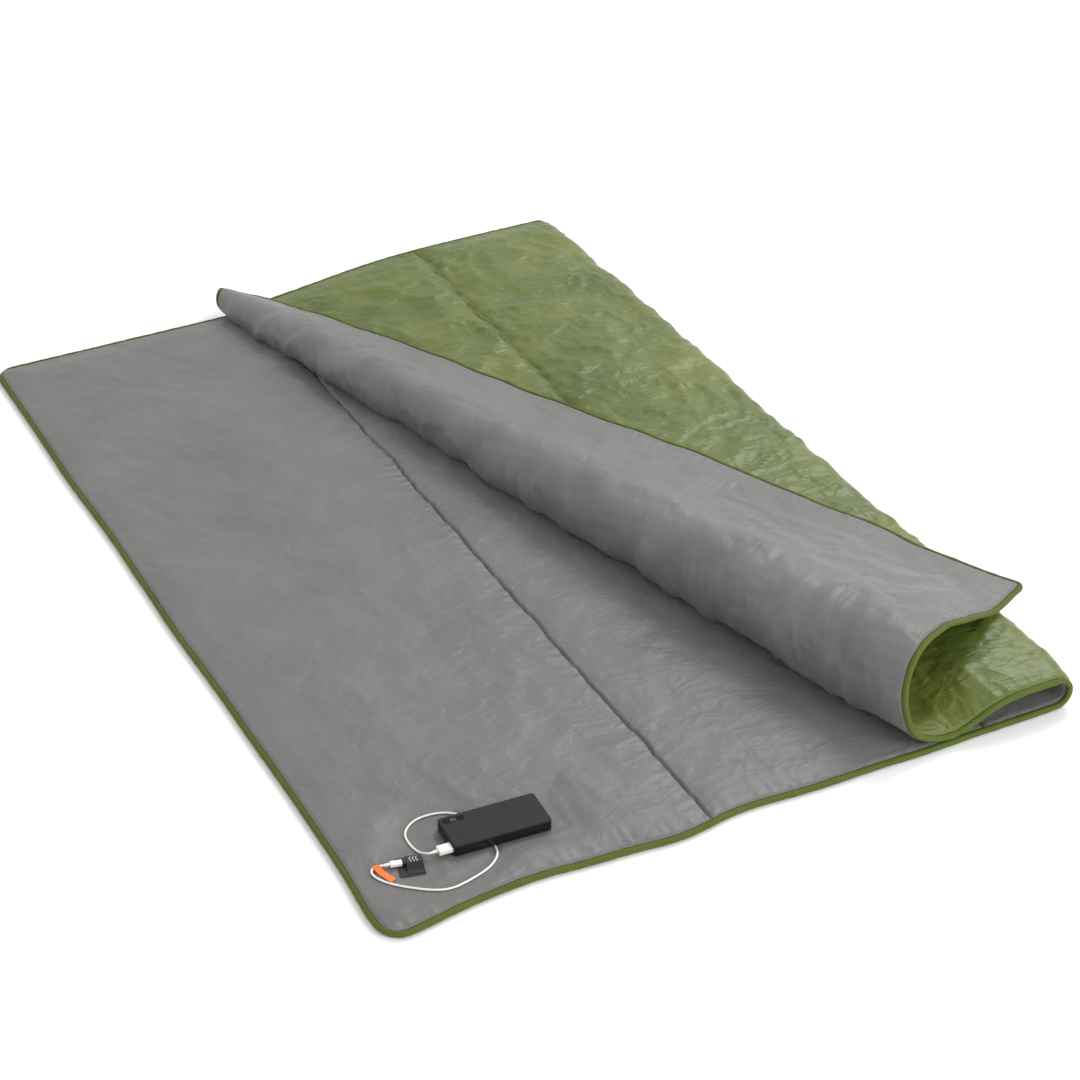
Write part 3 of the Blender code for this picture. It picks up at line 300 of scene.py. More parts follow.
def finish_pieces(finishes):
    for *finish, further, nodes in finishes:
        dress(nodes, grained(*finish, **further))


# ---- Objects ----
def new_object(name, data):
    made = bpy.data.objects.new(name, data)
    bpy.context.scene.collection.objects.link(made)
    return made


def mesh_object(name, bm, material):
    mesh = bpy.data.meshes.new(name)
    bm.to_mesh(mesh)
    bm.free()
    mesh.materials.append(material)
    return new_object(name, mesh)


# ---- Noise on the flat quilt ----
def gradient_noise(x, y, seed):
    """Perlin's noise from a seeded table, about -0.7 to 0.7, for arrays of places."""
    angles = np.random.default_rng(seed).uniform(0, math.tau, (64, 64))
    i, j = np.floor(x).astype(int), np.floor(y).astype(int)
    fx, fy = x - i, y - j
    sx, sy = fx**3 * (fx * (fx * 6 - 15) + 10), fy**3 * (fy * (fy * 6 - 15) + 10)
    corners = []
    for di, dj in ((0, 0), (1, 0), (0, 1), (1, 1)):
        angle = angles[(i + di) % 64, (j + dj) % 64]
        corners.append(np.cos(angle) * (fx - di) + np.sin(angle) * (fy - dj))
    low = corners[0] + (corners[1] - corners[0]) * sx
    high = corners[2] + (corners[3] - corners[2]) * sx
    return low + (high - low) * sy


def ridges(x, y, seed):
    """Sharp-topped folds with soft sides, 0 to 1, their lines bent by a slower noise."""
    bend_x = gradient_noise(x * 0.45, y * 0.45, seed + 1)
    bend_y = gradient_noise(x * 0.45 + 9.3, y * 0.45, seed + 2)
    value = gradient_noise(x + bend_x * 1.3, y + bend_y * 1.3, seed)
    return (1 - np.minimum(np.abs(value) * 2.4, 1.0)) ** 2


def smooth(share):
    share = np.clip(share, 0.0, 1.0)
    return share * share * (3 - 2 * share)


def bell(distance, width):
    """1 at no distance, falling off evenly on both sides."""
    return np.exp(-((distance / width) ** 2))


# ---- The folded quilt ----
def roll_reach(v):
    return ROLL_NEAR + (ROLL_FAR - ROLL_NEAR) * v / SHEET_LENGTH


def roll_radius(along):
    left = np.clip(1 - along / LINE_LENGTH, 0.0, 1.0)
    return ROLL_RADIUS_FAR + (ROLL_RADIUS_NEAR - ROLL_RADIUS_FAR) * left**ROLL_TAPER


def folded_height(reach, v):
    fall = smooth(reach / roll_reach(v)) ** SAG_POWER
    return FOLD_TOP + (ROLL_FOOT - FOLD_TOP) * fall


def to_roll_line(reach, v):
    """Lengths along the line where the roll starts, and past it."""
    along = (reach - ROLL_NEAR) * ALONG[0] + v * ALONG[1]
    past = (reach - ROLL_NEAR) * ACROSS[0] + v * ACROSS[1]
    return along, past


def free_span(v):
    past = (SHEET_WIDTH - BASE_WIDTH - FOLD_ARC - roll_reach(v)) * ACROSS[0]
    return np.maximum(past - math.pi * roll_radius(v * LINE_LENGTH / SHEET_LENGTH), 0.010)


def surface(u, v):
    """The middle of the quilt's thickness for arrays of flat places.

    It follows the solids, but the roll sags and flattens and the outline waves."""
    turned = u - BASE_WIDTH
    angle = np.clip(turned / FOLD_RADIUS, 0, math.pi)
    x = np.minimum(u, BASE_WIDTH) + FOLD_RADIUS * np.sin(angle)
    y = v.copy()
    z = HALF + FOLD_RADIUS * (1 - np.cos(angle))
    reach = np.maximum(turned - FOLD_ARC, 0.0)
    folded = turned > FOLD_ARC
    x = np.where(folded, BASE_WIDTH - reach, x)
    z = np.where(folded, folded_height(reach, v), z)
    along, past = to_roll_line(reach, v)
    rolled = folded & (past > 0)
    radius = roll_radius(along)
    turn = np.clip(past / radius, 0, math.pi)
    over = np.maximum(past - math.pi * radius, 0.0)
    out = radius * np.sin(turn) - over
    roll_x = BASE_WIDTH - ROLL_NEAR - along * ALONG[0] - out * ACROSS[0]
    roll_y = along * ALONG[1] + out * ACROSS[1]
    sagging = 1 - 0.22 * bell(turn - 0.85, 0.45)
    flatter = 1 - 0.30 * smooth((v - 1.15) / 0.5)
    roll_z = ROLL_FOOT + radius * (1 - np.cos(turn)) * sagging * flatter
    under = folded_height(np.maximum(BASE_WIDTH - roll_x, 0), np.clip(roll_y, 0, SHEET_LENGTH))
    rest = under + 2 * HALF + REST_GAP
    drop = smooth(over / free_span(v)) * (over > 0) * (1 - 0.55 * smooth((v - 0.80) / 0.7))
    roll_z = roll_z + (rest - roll_z) * drop
    place = np.stack((x, y, z), -1)
    rolled_place = np.stack((roll_x, roll_y, roll_z), -1)
    return np.where(rolled[..., None], rolled_place, place) + edge_waves(u, v)


# How far the near edge goes in or out, where along it, and over what width
NEAR_BULGES = (
    (-0.014, 0.030, 0.075), (0.008, 0.215, 0.10), (-0.006, 0.44, 0.06), (0.007, 0.56, 0.07),
)


def edge_waves(u, v):
    """How the quilt's outline wanders in the plane, as laid out by hand, fading inwards."""
    near = bell(v, 0.13)
    left = bell(u, 0.12)
    bulge = sum(out * bell(u - place, width) for out, place, width in NEAR_BULGES)
    bulge += 0.0035 * gradient_noise(u / 0.11, v * 0 + 0.5, 31)
    side = 0.005 * gradient_noise(v / 0.23, u * 0 + 0.5, 32)
    side -= 0.008 * bell(v - 0.05, 0.07)
    free = bell(SHEET_WIDTH - u, 0.10)
    wander = 0.006 * gradient_noise(v / 0.17, u * 0 + 0.5, 33)
    flat = np.clip((BASE_WIDTH - u) / 0.10, 0.0, 1.0)
    tip = np.exp(-(((SHEET_WIDTH - u) / 0.045) ** 2) - ((SHEET_LENGTH - v) / 0.045) ** 2)
    dx = side * left * flat + wander * free - 0.020 * tip
    dy = bulge * near * flat + 0.004 * tip
    turned = smooth((u - BASE_WIDTH - FOLD_ARC - ROLL_NEAR - 0.20) / 0.10)
    dz = 0.016 * gradient_noise(u / 0.075, v * 0 + 0.5, 34) * bell(v, 0.05) * turned
    dz += 0.006 * gradient_noise(v / 0.09, u * 0 + 0.5, 37) * free
    return np.stack((dx, dy, dz), -1)


def normals_at(u, v):
    step = 1e-4
    across = surface(u + step, v) - surface(u - step, v)
    along = surface(u, v + step) - surface(u, v - step)
    normal = np.cross(across, along)
    return normal / np.linalg.norm(normal, axis=-1, keepdims=True)


def quilt_point(u, v, lift):
    """Places lift away from the middle of the quilt, towards the lining."""
    return CORNER + surface(u, v) + normals_at(u, v) * lift[..., None]


# ---- Relief of the two cloths ----
wrinkles = {"grid": None}
WRINKLE_FRAMES = 20
WRINKLE_LIMIT = 0.006
SWELLING_PASSES = 60  # smoothing that finds the slow swelling under the wrinkles
CLOTH_SETTINGS = {
    "vertex_group_mass": "sewn",
    "quality": 4,
    "mass": 0.08,
    "tension_stiffness": 12,
    "compression_stiffness": 12,
    "shear_stiffness": 6,
    "bending_stiffness": 0.02,
    "shrink_min": -0.012,
}


def simulate_wrinkles():
    """The cloth between its seams, a little longer than they are, buckles as it would when sewn.

    Returns its heights over a grid of the flat quilt, less the slow swelling."""
    cell = 0.014
    across, along = round(SHEET_WIDTH / cell), round(SHEET_LENGTH / cell)
    mesh = bpy.data.meshes.new("trial_cloth")
    bm = bmesh.new()
    bmesh.ops.create_grid(bm, x_segments=across, y_segments=along, size=1.0)
    place = np.array([v.co for v in bm.verts])
    u = (place[:, 0] + 1) / 2 * SHEET_WIDTH
    v = (place[:, 1] + 1) / 2 * SHEET_LENGTH
    start = 0.0012 * gradient_noise(u / 0.05, v / 0.05, 41)
    for vert, pu, pv, pz in zip(bm.verts, u, v, start):
        vert.co = (pu, pv, pz)
    bm.to_mesh(mesh)
    bm.free()
    cloth = new_object("trial_cloth", mesh)
    pinned = cloth.vertex_groups.new(name="sewn")
    sewn = from_edges(u, v) < cell / 2
    for seam in SEAMS:
        sewn |= np.abs(u - seam) < cell * 0.6
    pinned.add([int(k) for k in np.flatnonzero(sewn)], 1.0, "REPLACE")
    step = cloth.modifiers.new("cloth", "CLOTH")
    for key, value in CLOTH_SETTINGS.items():
        setattr(step.settings, key, value)
    step.settings.effector_weights.gravity = 0.0
    step.collision_settings.use_collision = False
    for number in range(1, WRINKLE_FRAMES + 1):
        bpy.context.scene.frame_set(number)
    shown = cloth.evaluated_get(bpy.context.evaluated_depsgraph_get())
    moved = np.array([p.co for p in shown.data.vertices])
    height = np.zeros((across + 1, along + 1))
    column = np.rint(u / SHEET_WIDTH * across).astype(int)
    row = np.rint(v / SHEET_LENGTH * along).astype(int)
    height[column, row] = moved[:, 2]
    bpy.context.scene.frame_set(1)
    bpy.data.objects.remove(cloth)
    bpy.data.meshes.remove(mesh)
    slow = height.copy()
    for _ in range(SWELLING_PASSES):
        slow[1:-1] = (slow[:-2] + slow[1:-1] + slow[2:]) / 3
        slow[:, 1:-1] = (slow[:, :-2] + slow[:, 1:-1] + slow[:, 2:]) / 3
    return np.clip(height - slow, -WRINKLE_LIMIT, WRINKLE_LIMIT)


def wrinkle_height(u, v):
    grid = wrinkles["grid"]
    if grid is None:
        return np.zeros_like(u)
    x = np.clip(u / SHEET_WIDTH, 0, 1) * (grid.shape[0] - 1)
    y = np.clip(v / SHEET_LENGTH, 0, 1) * (grid.shape[1] - 1)
    i = np.minimum(x.astype(int), grid.shape[0] - 2)
    j = np.minimum(y.astype(int), grid.shape[1] - 2)
    fx, fy = smooth(x - i), smooth(y - j)
    low = grid[i, j] * (1 - fx) + grid[i + 1, j] * fx
    high = grid[i, j + 1] * (1 - fx) + grid[i + 1, j + 1] * fx
    return low * (1 - fy) + high * fy


def from_edges(u, v):
    return np.minimum(np.minimum(u, SHEET_WIDTH - u), np.minimum(v, SHEET_LENGTH - v))


def seam_wander(v):
    """How far a sewn row strays sideways from its straight line."""
    inside = smooth(np.minimum(v, SHEET_LENGTH - v) / 0.05)
    return (0.0042 * gradient_noise(v / 0.075, v * 0 + 0.5, 35)
            + 0.0020 * gradient_noise(v / 0.021, v * 0 + 0.5, 36)) * inside


def from_seams(u, v):
    return np.min([np.abs(u - seam - seam_wander(v)) for seam in SEAMS], axis=0)


def pinched(u, seam, edge, depth):
    """The valley that a row of stitches draws into the cloth."""
    narrow = np.where(u < BASE_WIDTH + 0.02, 0.0019, 0.0050)
    valley = 0.75 * bell(seam, narrow) + 0.25 * bell(seam, 0.012)
    return -depth * valley * smooth(edge / 0.02)


def across_roll(u, v):
    """Share of the roll's half turn at a flat place: 0 at its foot, 1 where it is over."""
    along, past = to_roll_line(u - BASE_WIDTH - FOLD_ARC, v)
    return past / (math.pi * roll_radius(along))


def distance_to_line(u, v, points):
    """Distance from flat places to a line of points."""
    nearest = np.full(u.shape, 9.0)
    for (ax, ay), (bx, by) in zip(points, points[1:]):
        run = np.array((bx - ax, by - ay))
        share = np.clip(((u - ax) * run[0] + (v - ay) * run[1]) / (run @ run), 0, 1)
        gap = np.hypot(u - ax - share * run[0], v - ay - share * run[1])
        nearest = np.minimum(nearest, gap)
    return nearest


def bank_distance(u, v, slid=0.0):
    """Distance from flat places to the power bank's outline, negative under it.

    slid lengthens the outline to where the bank goes when it is pulled off its plug."""
    low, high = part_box("bank_cover")
    middle = (np.array(low) + np.array(high)) / 2 - CORNER
    cos, sin = math.cos(BANK_TURN), math.sin(BANK_TURN)
    x = (u - middle[0]) * cos + (v - middle[1]) * sin
    y = -(u - middle[0]) * sin + (v - middle[1]) * cos
    return np.maximum(np.maximum(-x, x - slid) - BANK_LENGTH / 2, np.abs(y) - BANK_WIDTH / 2)


def kept_clear(u, v):
    """0 where something lies on the lining, rising to 1 at 5 cm from it."""
    clear = np.ones_like(u)
    corner = (u < BANK_CORNER[0]) & (v < BANK_CORNER[1])
    cu, cv = u[corner], v[corner]
    cable = distance_to_line(cu, cv, [p[:2] for p in (CABLE_START, *CABLE_ROUTE, CABLE_END)])
    tab = np.hypot(cu - TAB_PLACE[0], cv - TAB_PLACE[1]) - TAB_REACH
    near = np.minimum(np.minimum(cable, bank_distance(cu, cv, BANK_SLIDES)), tab)
    clear[corner] = smooth((near - 0.004) / 0.045)
    return clear


def hem_gathers(u, v, edge, size, seed):
    """Short folds square to the quilt's edge, just inside the tape."""
    hem = np.exp(-np.maximum(edge - 0.006, 0) / 0.022) * smooth((edge - 0.006) / 0.008)
    round_edge = np.where(np.minimum(u, SHEET_WIDTH - u) < np.minimum(v, SHEET_LENGTH - v), v, u)
    return hem * 0.0020 * ridges(round_edge / size, edge / 0.09, seed)


def down_to_tape(lift, edge):
    """Brings the cloth down to where the tape holds it."""
    lower = HELD_LIFT + (lift - HELD_LIFT) * smooth((edge - TAPE) / (HELD_WITHIN - TAPE))
    return np.where(edge < HELD_WITHIN, lower, lift)


def lining_lift(u, v):
    """Height of the lining over the quilt's middle."""
    edge, seam = from_edges(u, v), from_seams(u, v)
    soft = smooth((edge - 0.012) / 0.08)
    puff = 0.0045 * smooth(edge / 0.05) * (1 - np.exp(-seam / 0.030))
    pinch = pinched(u, seam, edge, 0.0056)
    slow = 0.0034 * gradient_noise(u / 0.20, v / 0.33, 3)
    folds = 0.0026 * ridges(u / 0.16, v / 0.30, 5) * (0.4 + gradient_noise(u / 0.5, v / 0.5, 6))
    small = 0.0010 * ridges(u / 0.075 + v / 0.2, v / 0.11, 8)
    tiny = 0.0004 * ridges(u / 0.030, v / 0.034, 11)
    bunched = 0.5 + 0.8 * gradient_noise(u / 0.3, v / 0.06, 15)
    gather = np.exp(-seam / 0.026) * ridges(u / 0.10, v / 0.026, 14) * 0.0044 * bunched
    gather *= smooth(seam / 0.004)
    turn = across_roll(u, v)
    bent = bell(turn - 0.42, 0.34)
    crossing = ridges(v / 0.115 + turn * 0.35, turn * 0.7, 21) * 0.0075
    crossing += ridges(v / 0.05 - turn * 0.5, turn * 1.1, 22) * 0.0030
    folds = folds + crossing * bent
    gather += hem_gathers(u, v, edge, 0.021, 17)
    free = smooth((u - BASE_WIDTH) / 0.3)
    sewn = wrinkle_height(u, v) * (0.24 + 0.42 * free)
    wavy = puff + (slow + folds + small + sewn) * soft + gather + tiny
    clear = kept_clear(u, v)
    lift = HALF + wavy * clear + pinch
    return down_to_tape(lift, edge) + dents(u, v)


def dents(u, v):
    """What the power bank and the cable under it press into the lining."""
    lower = np.zeros_like(u)
    corner = (u < BANK_CORNER[0]) & (v < BANK_CORNER[1])
    cu, cv = u[corner], v[corner]
    route = [p[:2] for p in CABLE_ROUTE[DENT[0] : DENT[1]]]
    cable = distance_to_line(cu, cv, route)
    bank = bank_distance(cu, cv)
    under = smooth((-bank - 0.003) / 0.006) * -0.0040
    beside = -0.0034 * bell(cable, 0.0055)
    past = bank_distance(cu, cv, BANK_SLIDES)
    rim = 0.0014 * bell(past - 0.013, 0.007) * smooth(cable / 0.02)
    lower[corner] = np.minimum(under, beside) + rim * smooth((past - 0.002) / 0.006)
    return lower


def shell_lift(u, v):
    """Height of the outer cloth under the quilt's middle, as a positive number.

    Where the quilt lies on the ground it stays flat; elsewhere it is more crumpled."""
    edge, seam = from_edges(u, v), from_seams(u, v)
    hangs = smooth((u - BASE_WIDTH - 0.012) / 0.04)
    soft = smooth((edge - 0.010) / 0.08)
    puff = 0.0055 * smooth(edge / 0.05) * (1 - np.exp(-seam / 0.035))
    pinch = pinched(u, seam, edge, 0.0052)
    slow = 0.0040 * gradient_noise(u / 0.15, v / 0.26, 53)
    folds = 0.0052 * ridges(u / 0.13, v / 0.17, 55) * (0.5 + gradient_noise(u / 0.4, v / 0.4, 56))
    small = 0.0028 * ridges(u / 0.085, v / 0.062, 58)
    tiny = 0.0010 * ridges(u / 0.028, v / 0.034, 61)
    gather = np.exp(-seam / 0.030) * ridges(u / 0.09, v / 0.026, 64) * 0.0034
    gather *= smooth(seam / 0.004)
    gather += hem_gathers(u, v, edge, 0.020, 67)
    bent = -wrinkle_height(SHEET_WIDTH - u, v) * 0.5
    wavy = puff + (slow + folds + small + bent) * soft + gather + tiny
    lift = HALF + (wavy + pinch) * hangs
    return down_to_tape(lift, edge)


# ---- Sheets of cloth ----
def corner_pull(distance, radius):
    inside = np.clip(radius - distance, 0, radius)
    return np.where(distance < radius, radius - np.sqrt(np.maximum(radius**2 - inside**2, 0)), 0.0)


def roll_turn(v, share):
    """u where the roll has turned through a share of its half turn at v."""
    reach = roll_reach(v)
    for _ in range(12):
        along = to_roll_line(reach, v)[0]
        reach = roll_reach(v) + share * math.pi * roll_radius(along) / ACROSS[0]
    return BASE_WIDTH + FOLD_ARC + reach


def stretch_ends(stretch, v):
    """Where a stretch of the quilt starts and ends in u, for rows at v."""
    top = BASE_WIDTH + FOLD_ARC
    bend = roll_turn(v, 1.0) + BENDS_PAST_LINE / ACROSS[0]
    edges = {
        "base": (TAPE + 0 * v, BASE_WIDTH + 0 * v),
        "fold": (BASE_WIDTH + 0 * v, top + 0 * v),
        "flap": (top + 0 * v, roll_turn(v, 0.5)),
        "roll": (roll_turn(v, 0.5), bend),
        "turnback": (bend, SHEET_WIDTH - TAPE + 0 * v),
    }
    return edges[stretch]


def crowded(share, length, places, extra, spread):
    """Shares moved so that rows lie closer together near places along a length."""
    run = np.linspace(0, 1, 2001)
    close = sum(bell(run * length - place, spread) for place in places)
    total = np.concatenate(([0.0], np.cumsum(1 + extra * (close[1:] + close[:-1]) / 2)))
    return np.interp(share, total / total[-1], run)


def flat_grid(stretch, column_share, row_share):
    """Flat places for shares across and along a stretch, its corners rounded."""
    if stretch == "base":
        places = [0.0, *(seam - TAPE for seam in SEAMS[:2])]
        column_share = crowded(column_share, BASE_WIDTH - TAPE, places, 5.0, 0.010)
    row_share = crowded(row_share, SHEET_LENGTH, (0.0, SHEET_LENGTH), 1.2, 0.020)
    v = TAPE + (SHEET_LENGTH - 2 * TAPE) * row_share
    for _ in range(3):
        start, end = stretch_ends(stretch, v)
        u = start + (end - start) * column_share
        pull = np.zeros_like(u)
        if stretch == "base":
            pull = corner_pull(u - TAPE, CORNER_RADIUS - TAPE)
        if stretch == "turnback":
            pull = corner_pull(SHEET_WIDTH - TAPE - u, FREE_CORNER_RADIUS - TAPE)
        v = TAPE + pull + (SHEET_LENGTH - 2 * (TAPE + pull)) * row_share
    return u, v


def cloth_place(u, v, side):
    """Places of the lining (side 1) or the outer cloth (side -1)."""
    lift = lining_lift(u, v) if side > 0 else -shell_lift(u, v)
    return quilt_point(u, v, lift)


def cloth_normal(u, v, side):
    step = 0.002
    across = cloth_place(u + step, v, side) - cloth_place(u - step, v, side)
    along = cloth_place(u, v + step, side) - cloth_place(u, v - step, side)
    normal = np.cross(across, along) * side
    return normal / np.linalg.norm(normal, axis=-1, keepdims=True)


def add_cloth(name, stretch, side, columns, rows, made):
    """One cloth of one stretch: a closed pad from the quilt's middle out to the cloth's face."""
    bm = bmesh.new()
    bmesh.ops.create_grid(bm, x_segments=columns, y_segments=rows, size=1.0)
    grown = bmesh.ops.extrude_face_region(bm, geom=list(bm.faces), use_keep_orig=True)
    face = [g for g in grown["geom"] if isinstance(g, bmesh.types.BMVert)]
    bmesh.ops.translate(bm, vec=(0, 0, 1), verts=face)
    bmesh.ops.recalc_face_normals(bm, faces=bm.faces)
    if side < 0:
        bmesh.ops.reverse_faces(bm, faces=bm.faces)
    mesh = bpy.data.meshes.new(name)
    bm.to_mesh(mesh)
    bm.free()
    place = np.empty(len(mesh.vertices) * 3)
    mesh.vertices.foreach_get("co", place)
    place = place.reshape(-1, 3)
    outer = place[:, 2] > 0.5
    u, v = flat_grid(stretch, (place[:, 0] + 1) / 2, (place[:, 1] + 1) / 2)
    inner_lift = np.full(u.shape, side * 0.0004)
    shaped = np.where(outer[:, None], cloth_place(u, v, side), quilt_point(u, v, inner_lift))
    mesh.vertices.foreach_set("co", shaped.astype(np.float32).ravel())
    add_flat_map(mesh, u, v)
    mesh.shade_smooth()
    facing = cloth_normal(u, v, side)
    mesh.normals_split_custom_set_from_vertices(np.where(outer[:, None], facing, -facing))
    mesh.materials.append(made)
    return new_object(name, mesh)


def add_flat_map(mesh, u, v):
    """A UV map that holds a surface's own flat lengths in metres."""
    corners = np.empty(len(mesh.loops), int)
    mesh.loops.foreach_get("vertex_index", corners)
    flat = np.stack((u[corners], v[corners]), -1).astype(np.float32)
    mesh.uv_layers.new(name="flat").data.foreach_set("uv", flat.ravel())


def move_with(piece, stretch):
    """The base, flap and turned-back part go with their bodies; the fold and the roll are left
    unattached, their transforms baked in.
    """
    if stretch == "fold":
        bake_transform(piece)
    elif stretch == "roll":
        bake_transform(piece)
    else:
        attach(piece, stretch)


# ---- Edge tape and threads ----
RING = 12
STITCH_ROW = 0.0057  # round the tape from its inner edge to the stitches, whose dark dashes also paint the shade of the puckers at them
TAPE_ROUND = math.pi * 2 * TAPE


def add_tube(name, rings, made, along, around):
    """A closed tube through rings of places, with its lengths along and round it as its UV map."""
    sides = rings.shape[1]
    bm = bmesh.new()
    bmesh.ops.create_grid(bm, x_segments=sides, y_segments=len(rings) - 1, size=1.0)
    flat = bm.loops.layers.uv.new("flat")
    grid = {}
    for vert in bm.verts:
        column = round((vert.co.x + 1) / 2 * sides)
        row = round((vert.co.y + 1) / 2 * (len(rings) - 1))
        grid[vert] = (column, row)
    for face in bm.faces:
        for loop in face.loops:
            column, row = grid[loop.vert]
            loop[flat].uv = (along[row], column / sides * around)
    for vert, (column, row) in grid.items():
        vert.co = rings[row, column % sides]
    bmesh.ops.remove_doubles(bm, verts=bm.verts, dist=1e-6)
    for face in bm.faces:
        face.smooth = True
    for end in bmesh.ops.holes_fill(bm, edges=bm.edges, sides=sides)["faces"]:
        for edge in end.edges:
            edge.smooth = False
    bmesh.ops.recalc_face_normals(bm, faces=bm.faces)
    return mesh_object(name, bm, made)


def tape_path(stretch, side):
    """Places and outward directions of the edge tape's middle line along one stretch."""
    v = np.full(2, TAPE if side == "near" else SHEET_LENGTH - TAPE)
    start, end = (edge[0] for edge in stretch_ends(stretch, v))
    facing = -1.0 if side == "near" else 1.0
    if stretch == "base":
        start = CORNER_RADIUS
    if stretch == "turnback":
        end = SHEET_WIDTH - FREE_CORNER_RADIUS
    count = max(3, round((end - start) / 0.006))
    u = np.linspace(start, end, count + 1)
    flat = np.zeros_like(u)
    return [u, flat + v[0], flat, flat + facing]


def round_path(u, v, radius, first, last, count=9):
    angle = np.radians(np.linspace(first, last, count + 2)[1:-1])
    out_u, out_v = np.cos(angle), np.sin(angle)
    return [u + radius * out_u, v + radius * out_v, out_u, out_v]


def side_path(u, low, high, facing):
    v = np.linspace(low, high, round((high - low) / 0.006) + 1)
    flat = np.zeros_like(v)
    return [flat + u, v, flat + facing, flat]


def joined(*paths):
    return [np.concatenate(columns) for columns in zip(*paths)]


def reverse(path):
    return [column[::-1] for column in path]


def base_tape_path():
    radius, low = CORNER_RADIUS - TAPE, CORNER_RADIUS
    high = SHEET_LENGTH - CORNER_RADIUS
    return joined(
        reverse(tape_path("base", "near")),
        round_path(CORNER_RADIUS, low, radius, -90, -180),
        side_path(TAPE, low, high, -1.0),
        round_path(CORNER_RADIUS, high, radius, 180, 90),
        tape_path("base", "far"),
    )


def turnback_tape_path():
    radius, low = FREE_CORNER_RADIUS - TAPE, FREE_CORNER_RADIUS
    edge, high = SHEET_WIDTH - FREE_CORNER_RADIUS, SHEET_LENGTH - FREE_CORNER_RADIUS
    return joined(
        tape_path("turnback", "near"),
        round_path(edge, low, radius, -90, 0, 5),
        side_path(SHEET_WIDTH - TAPE, low, high, 1.0),
        round_path(edge, high, radius, 0, 90, 5),
        reverse(tape_path("turnback", "far")),
    )


def rings_at(u, v, lift):
    """Rings of a tube from arrays of flat places and lifts, one ring to a row."""
    return quilt_point(u.ravel(), v.ravel(), lift.ravel()).reshape(*u.shape, 3)


def add_tape(name, path, made, width):
    """The folded tape round an edge, pinched a little between its stitches."""
    u, v, out_u, out_v = (column[:, None] for column in path)
    angle = np.linspace(0, math.tau, RING, endpoint=False)[None, :] + math.pi
    steps = np.hypot(np.diff(u[:, 0]), np.diff(v[:, 0]))
    along = np.concatenate(([0.0], np.cumsum(steps)))
    pinch = 1 + 0.20 * gradient_noise(u / 0.011, v / 0.011, 71)
    wide, high = width / 2, 0.0048 * pinch
    squared = np.abs(np.cos(angle)) ** 0.8 * np.sign(np.cos(angle))
    out = wide * squared * (1 + 0.14 * gradient_noise(u / 0.018, v / 0.018, 72))
    lift = high * np.sin(angle) * np.ones_like(out)
    lift = np.where(np.cos(angle) < 0, lift * 0.93, lift)
    place_u, place_v = u + out_u * out, v + out_v * out
    return add_tube(name, rings_at(place_u, place_v, lift), made, along, TAPE_ROUND)


def add_seam(name, u, low, high, side, made):
    """The lockstitch's threads lying in its seam: a thin tube that narrows between stitches, its
    near-black material also painting the shade where the cloth folds into the seam.
    """
    step = 1.6 * MM
    v = np.linspace(low, high, round((high - low) / step) + 1)
    angle = np.linspace(0, math.tau, 6, endpoint=False)[None, :]
    stitch = 0.25 + 0.75 * np.abs(np.sin(math.pi * v / (5.0 * MM)))[:, None] ** 0.6
    radius = 0.0009 * stitch
    row = u + seam_wander(v)
    place_u = row[:, None] + radius * np.cos(angle)
    place_v = np.repeat(v[:, None], 6, axis=1)
    face = lining_lift(row, v) if side > 0 else shell_lift(row, v)
    lift = side * (face[:, None] + 0.0004) + radius * np.sin(angle)
    return add_tube(name, rings_at(place_u, place_v, lift), made, v, math.tau * 0.00085)


# ---- Cable ----
def smooth_route(points, count):
    """Evenly shared points on a smooth curve through the route's own points."""
    ends = [points[0] * 2 - points[1], *points, points[-1] * 2 - points[-2]]
    spans = len(points) - 1
    route = []
    for k in range(count):
        place = min(k / (count - 1) * spans, spans - 1e-9)
        span = int(place)
        t = place - span
        a, b, c, d = ends[span : span + 4]
        bend = (2 * a - 5 * b + 4 * c - d) * t * t + (3 * b - a - 3 * c + d) * t**3
        route.append((2 * b + (c - a) * t + bend) / 2)
    return route


def cable_points():
    level = Vector(CORNER) + Vector((0, 0, LINING_TOP))
    start, end = level + Vector(CABLE_START), level + Vector(CABLE_END)
    back = Vector((-math.cos(BANK_TURN), -math.sin(BANK_TURN), 0))
    into = Vector((math.cos(TAB_TURN), math.sin(TAB_TURN), 0))
    route = [level + Vector(place) for place in CABLE_ROUTE]
    return [start, start + back * 0.003, *route, end - into * 0.004, end]


def round_tube(name, route, radius, made, sides=16):
    rings = []
    for k, place in enumerate(route):
        run = (route[min(k + 1, len(route) - 1)] - route[max(k - 1, 0)]).normalized()
        side = run.cross(Vector((0, 0, 1))).normalized()
        up = side.cross(run)
        angles = [math.tau * s / sides for s in range(sides)]
        rings.append([place + (side * math.cos(a) + up * math.sin(a)) * radius for a in angles])
    steps = [0.0]
    for a, b in zip(route, route[1:]):
        steps.append(steps[-1] + (b - a).length)
    return add_tube(name, np.array(rings), made, steps, math.tau * radius)


# ---- Settings ----
class QuiltSettings(bpy.types.PropertyGroup):
    """Colours and counts that a user may change before building the cloth."""

    lining_colour: bpy.props.StringProperty(
        name="Lining", description="Colour of the lining as sRGB hex", default="6c6a69"
    )
    shell_colour: bpy.props.StringProperty(
        name="Outside", description="Colour of the outer cloth as sRGB hex", default="5d6929"
    )
    tape_colour: bpy.props.StringProperty(
        name="Edge tape", description="Colour of the bound edge as sRGB hex", default="5a681f"
    )
    tape_width: bpy.props.FloatProperty(
        name="Edge tape width",
        description="Visible width of the bound edge",
        default=0.0105,
        min=0.006,
        max=0.02,
        unit="LENGTH",
    )
    cloth_step: bpy.props.FloatProperty(
        name="Cloth step",
        description="Size of the faces that the cloth is made of",
        default=0.0062,
        min=0.004,
        max=0.02,
        unit="LENGTH",
    )


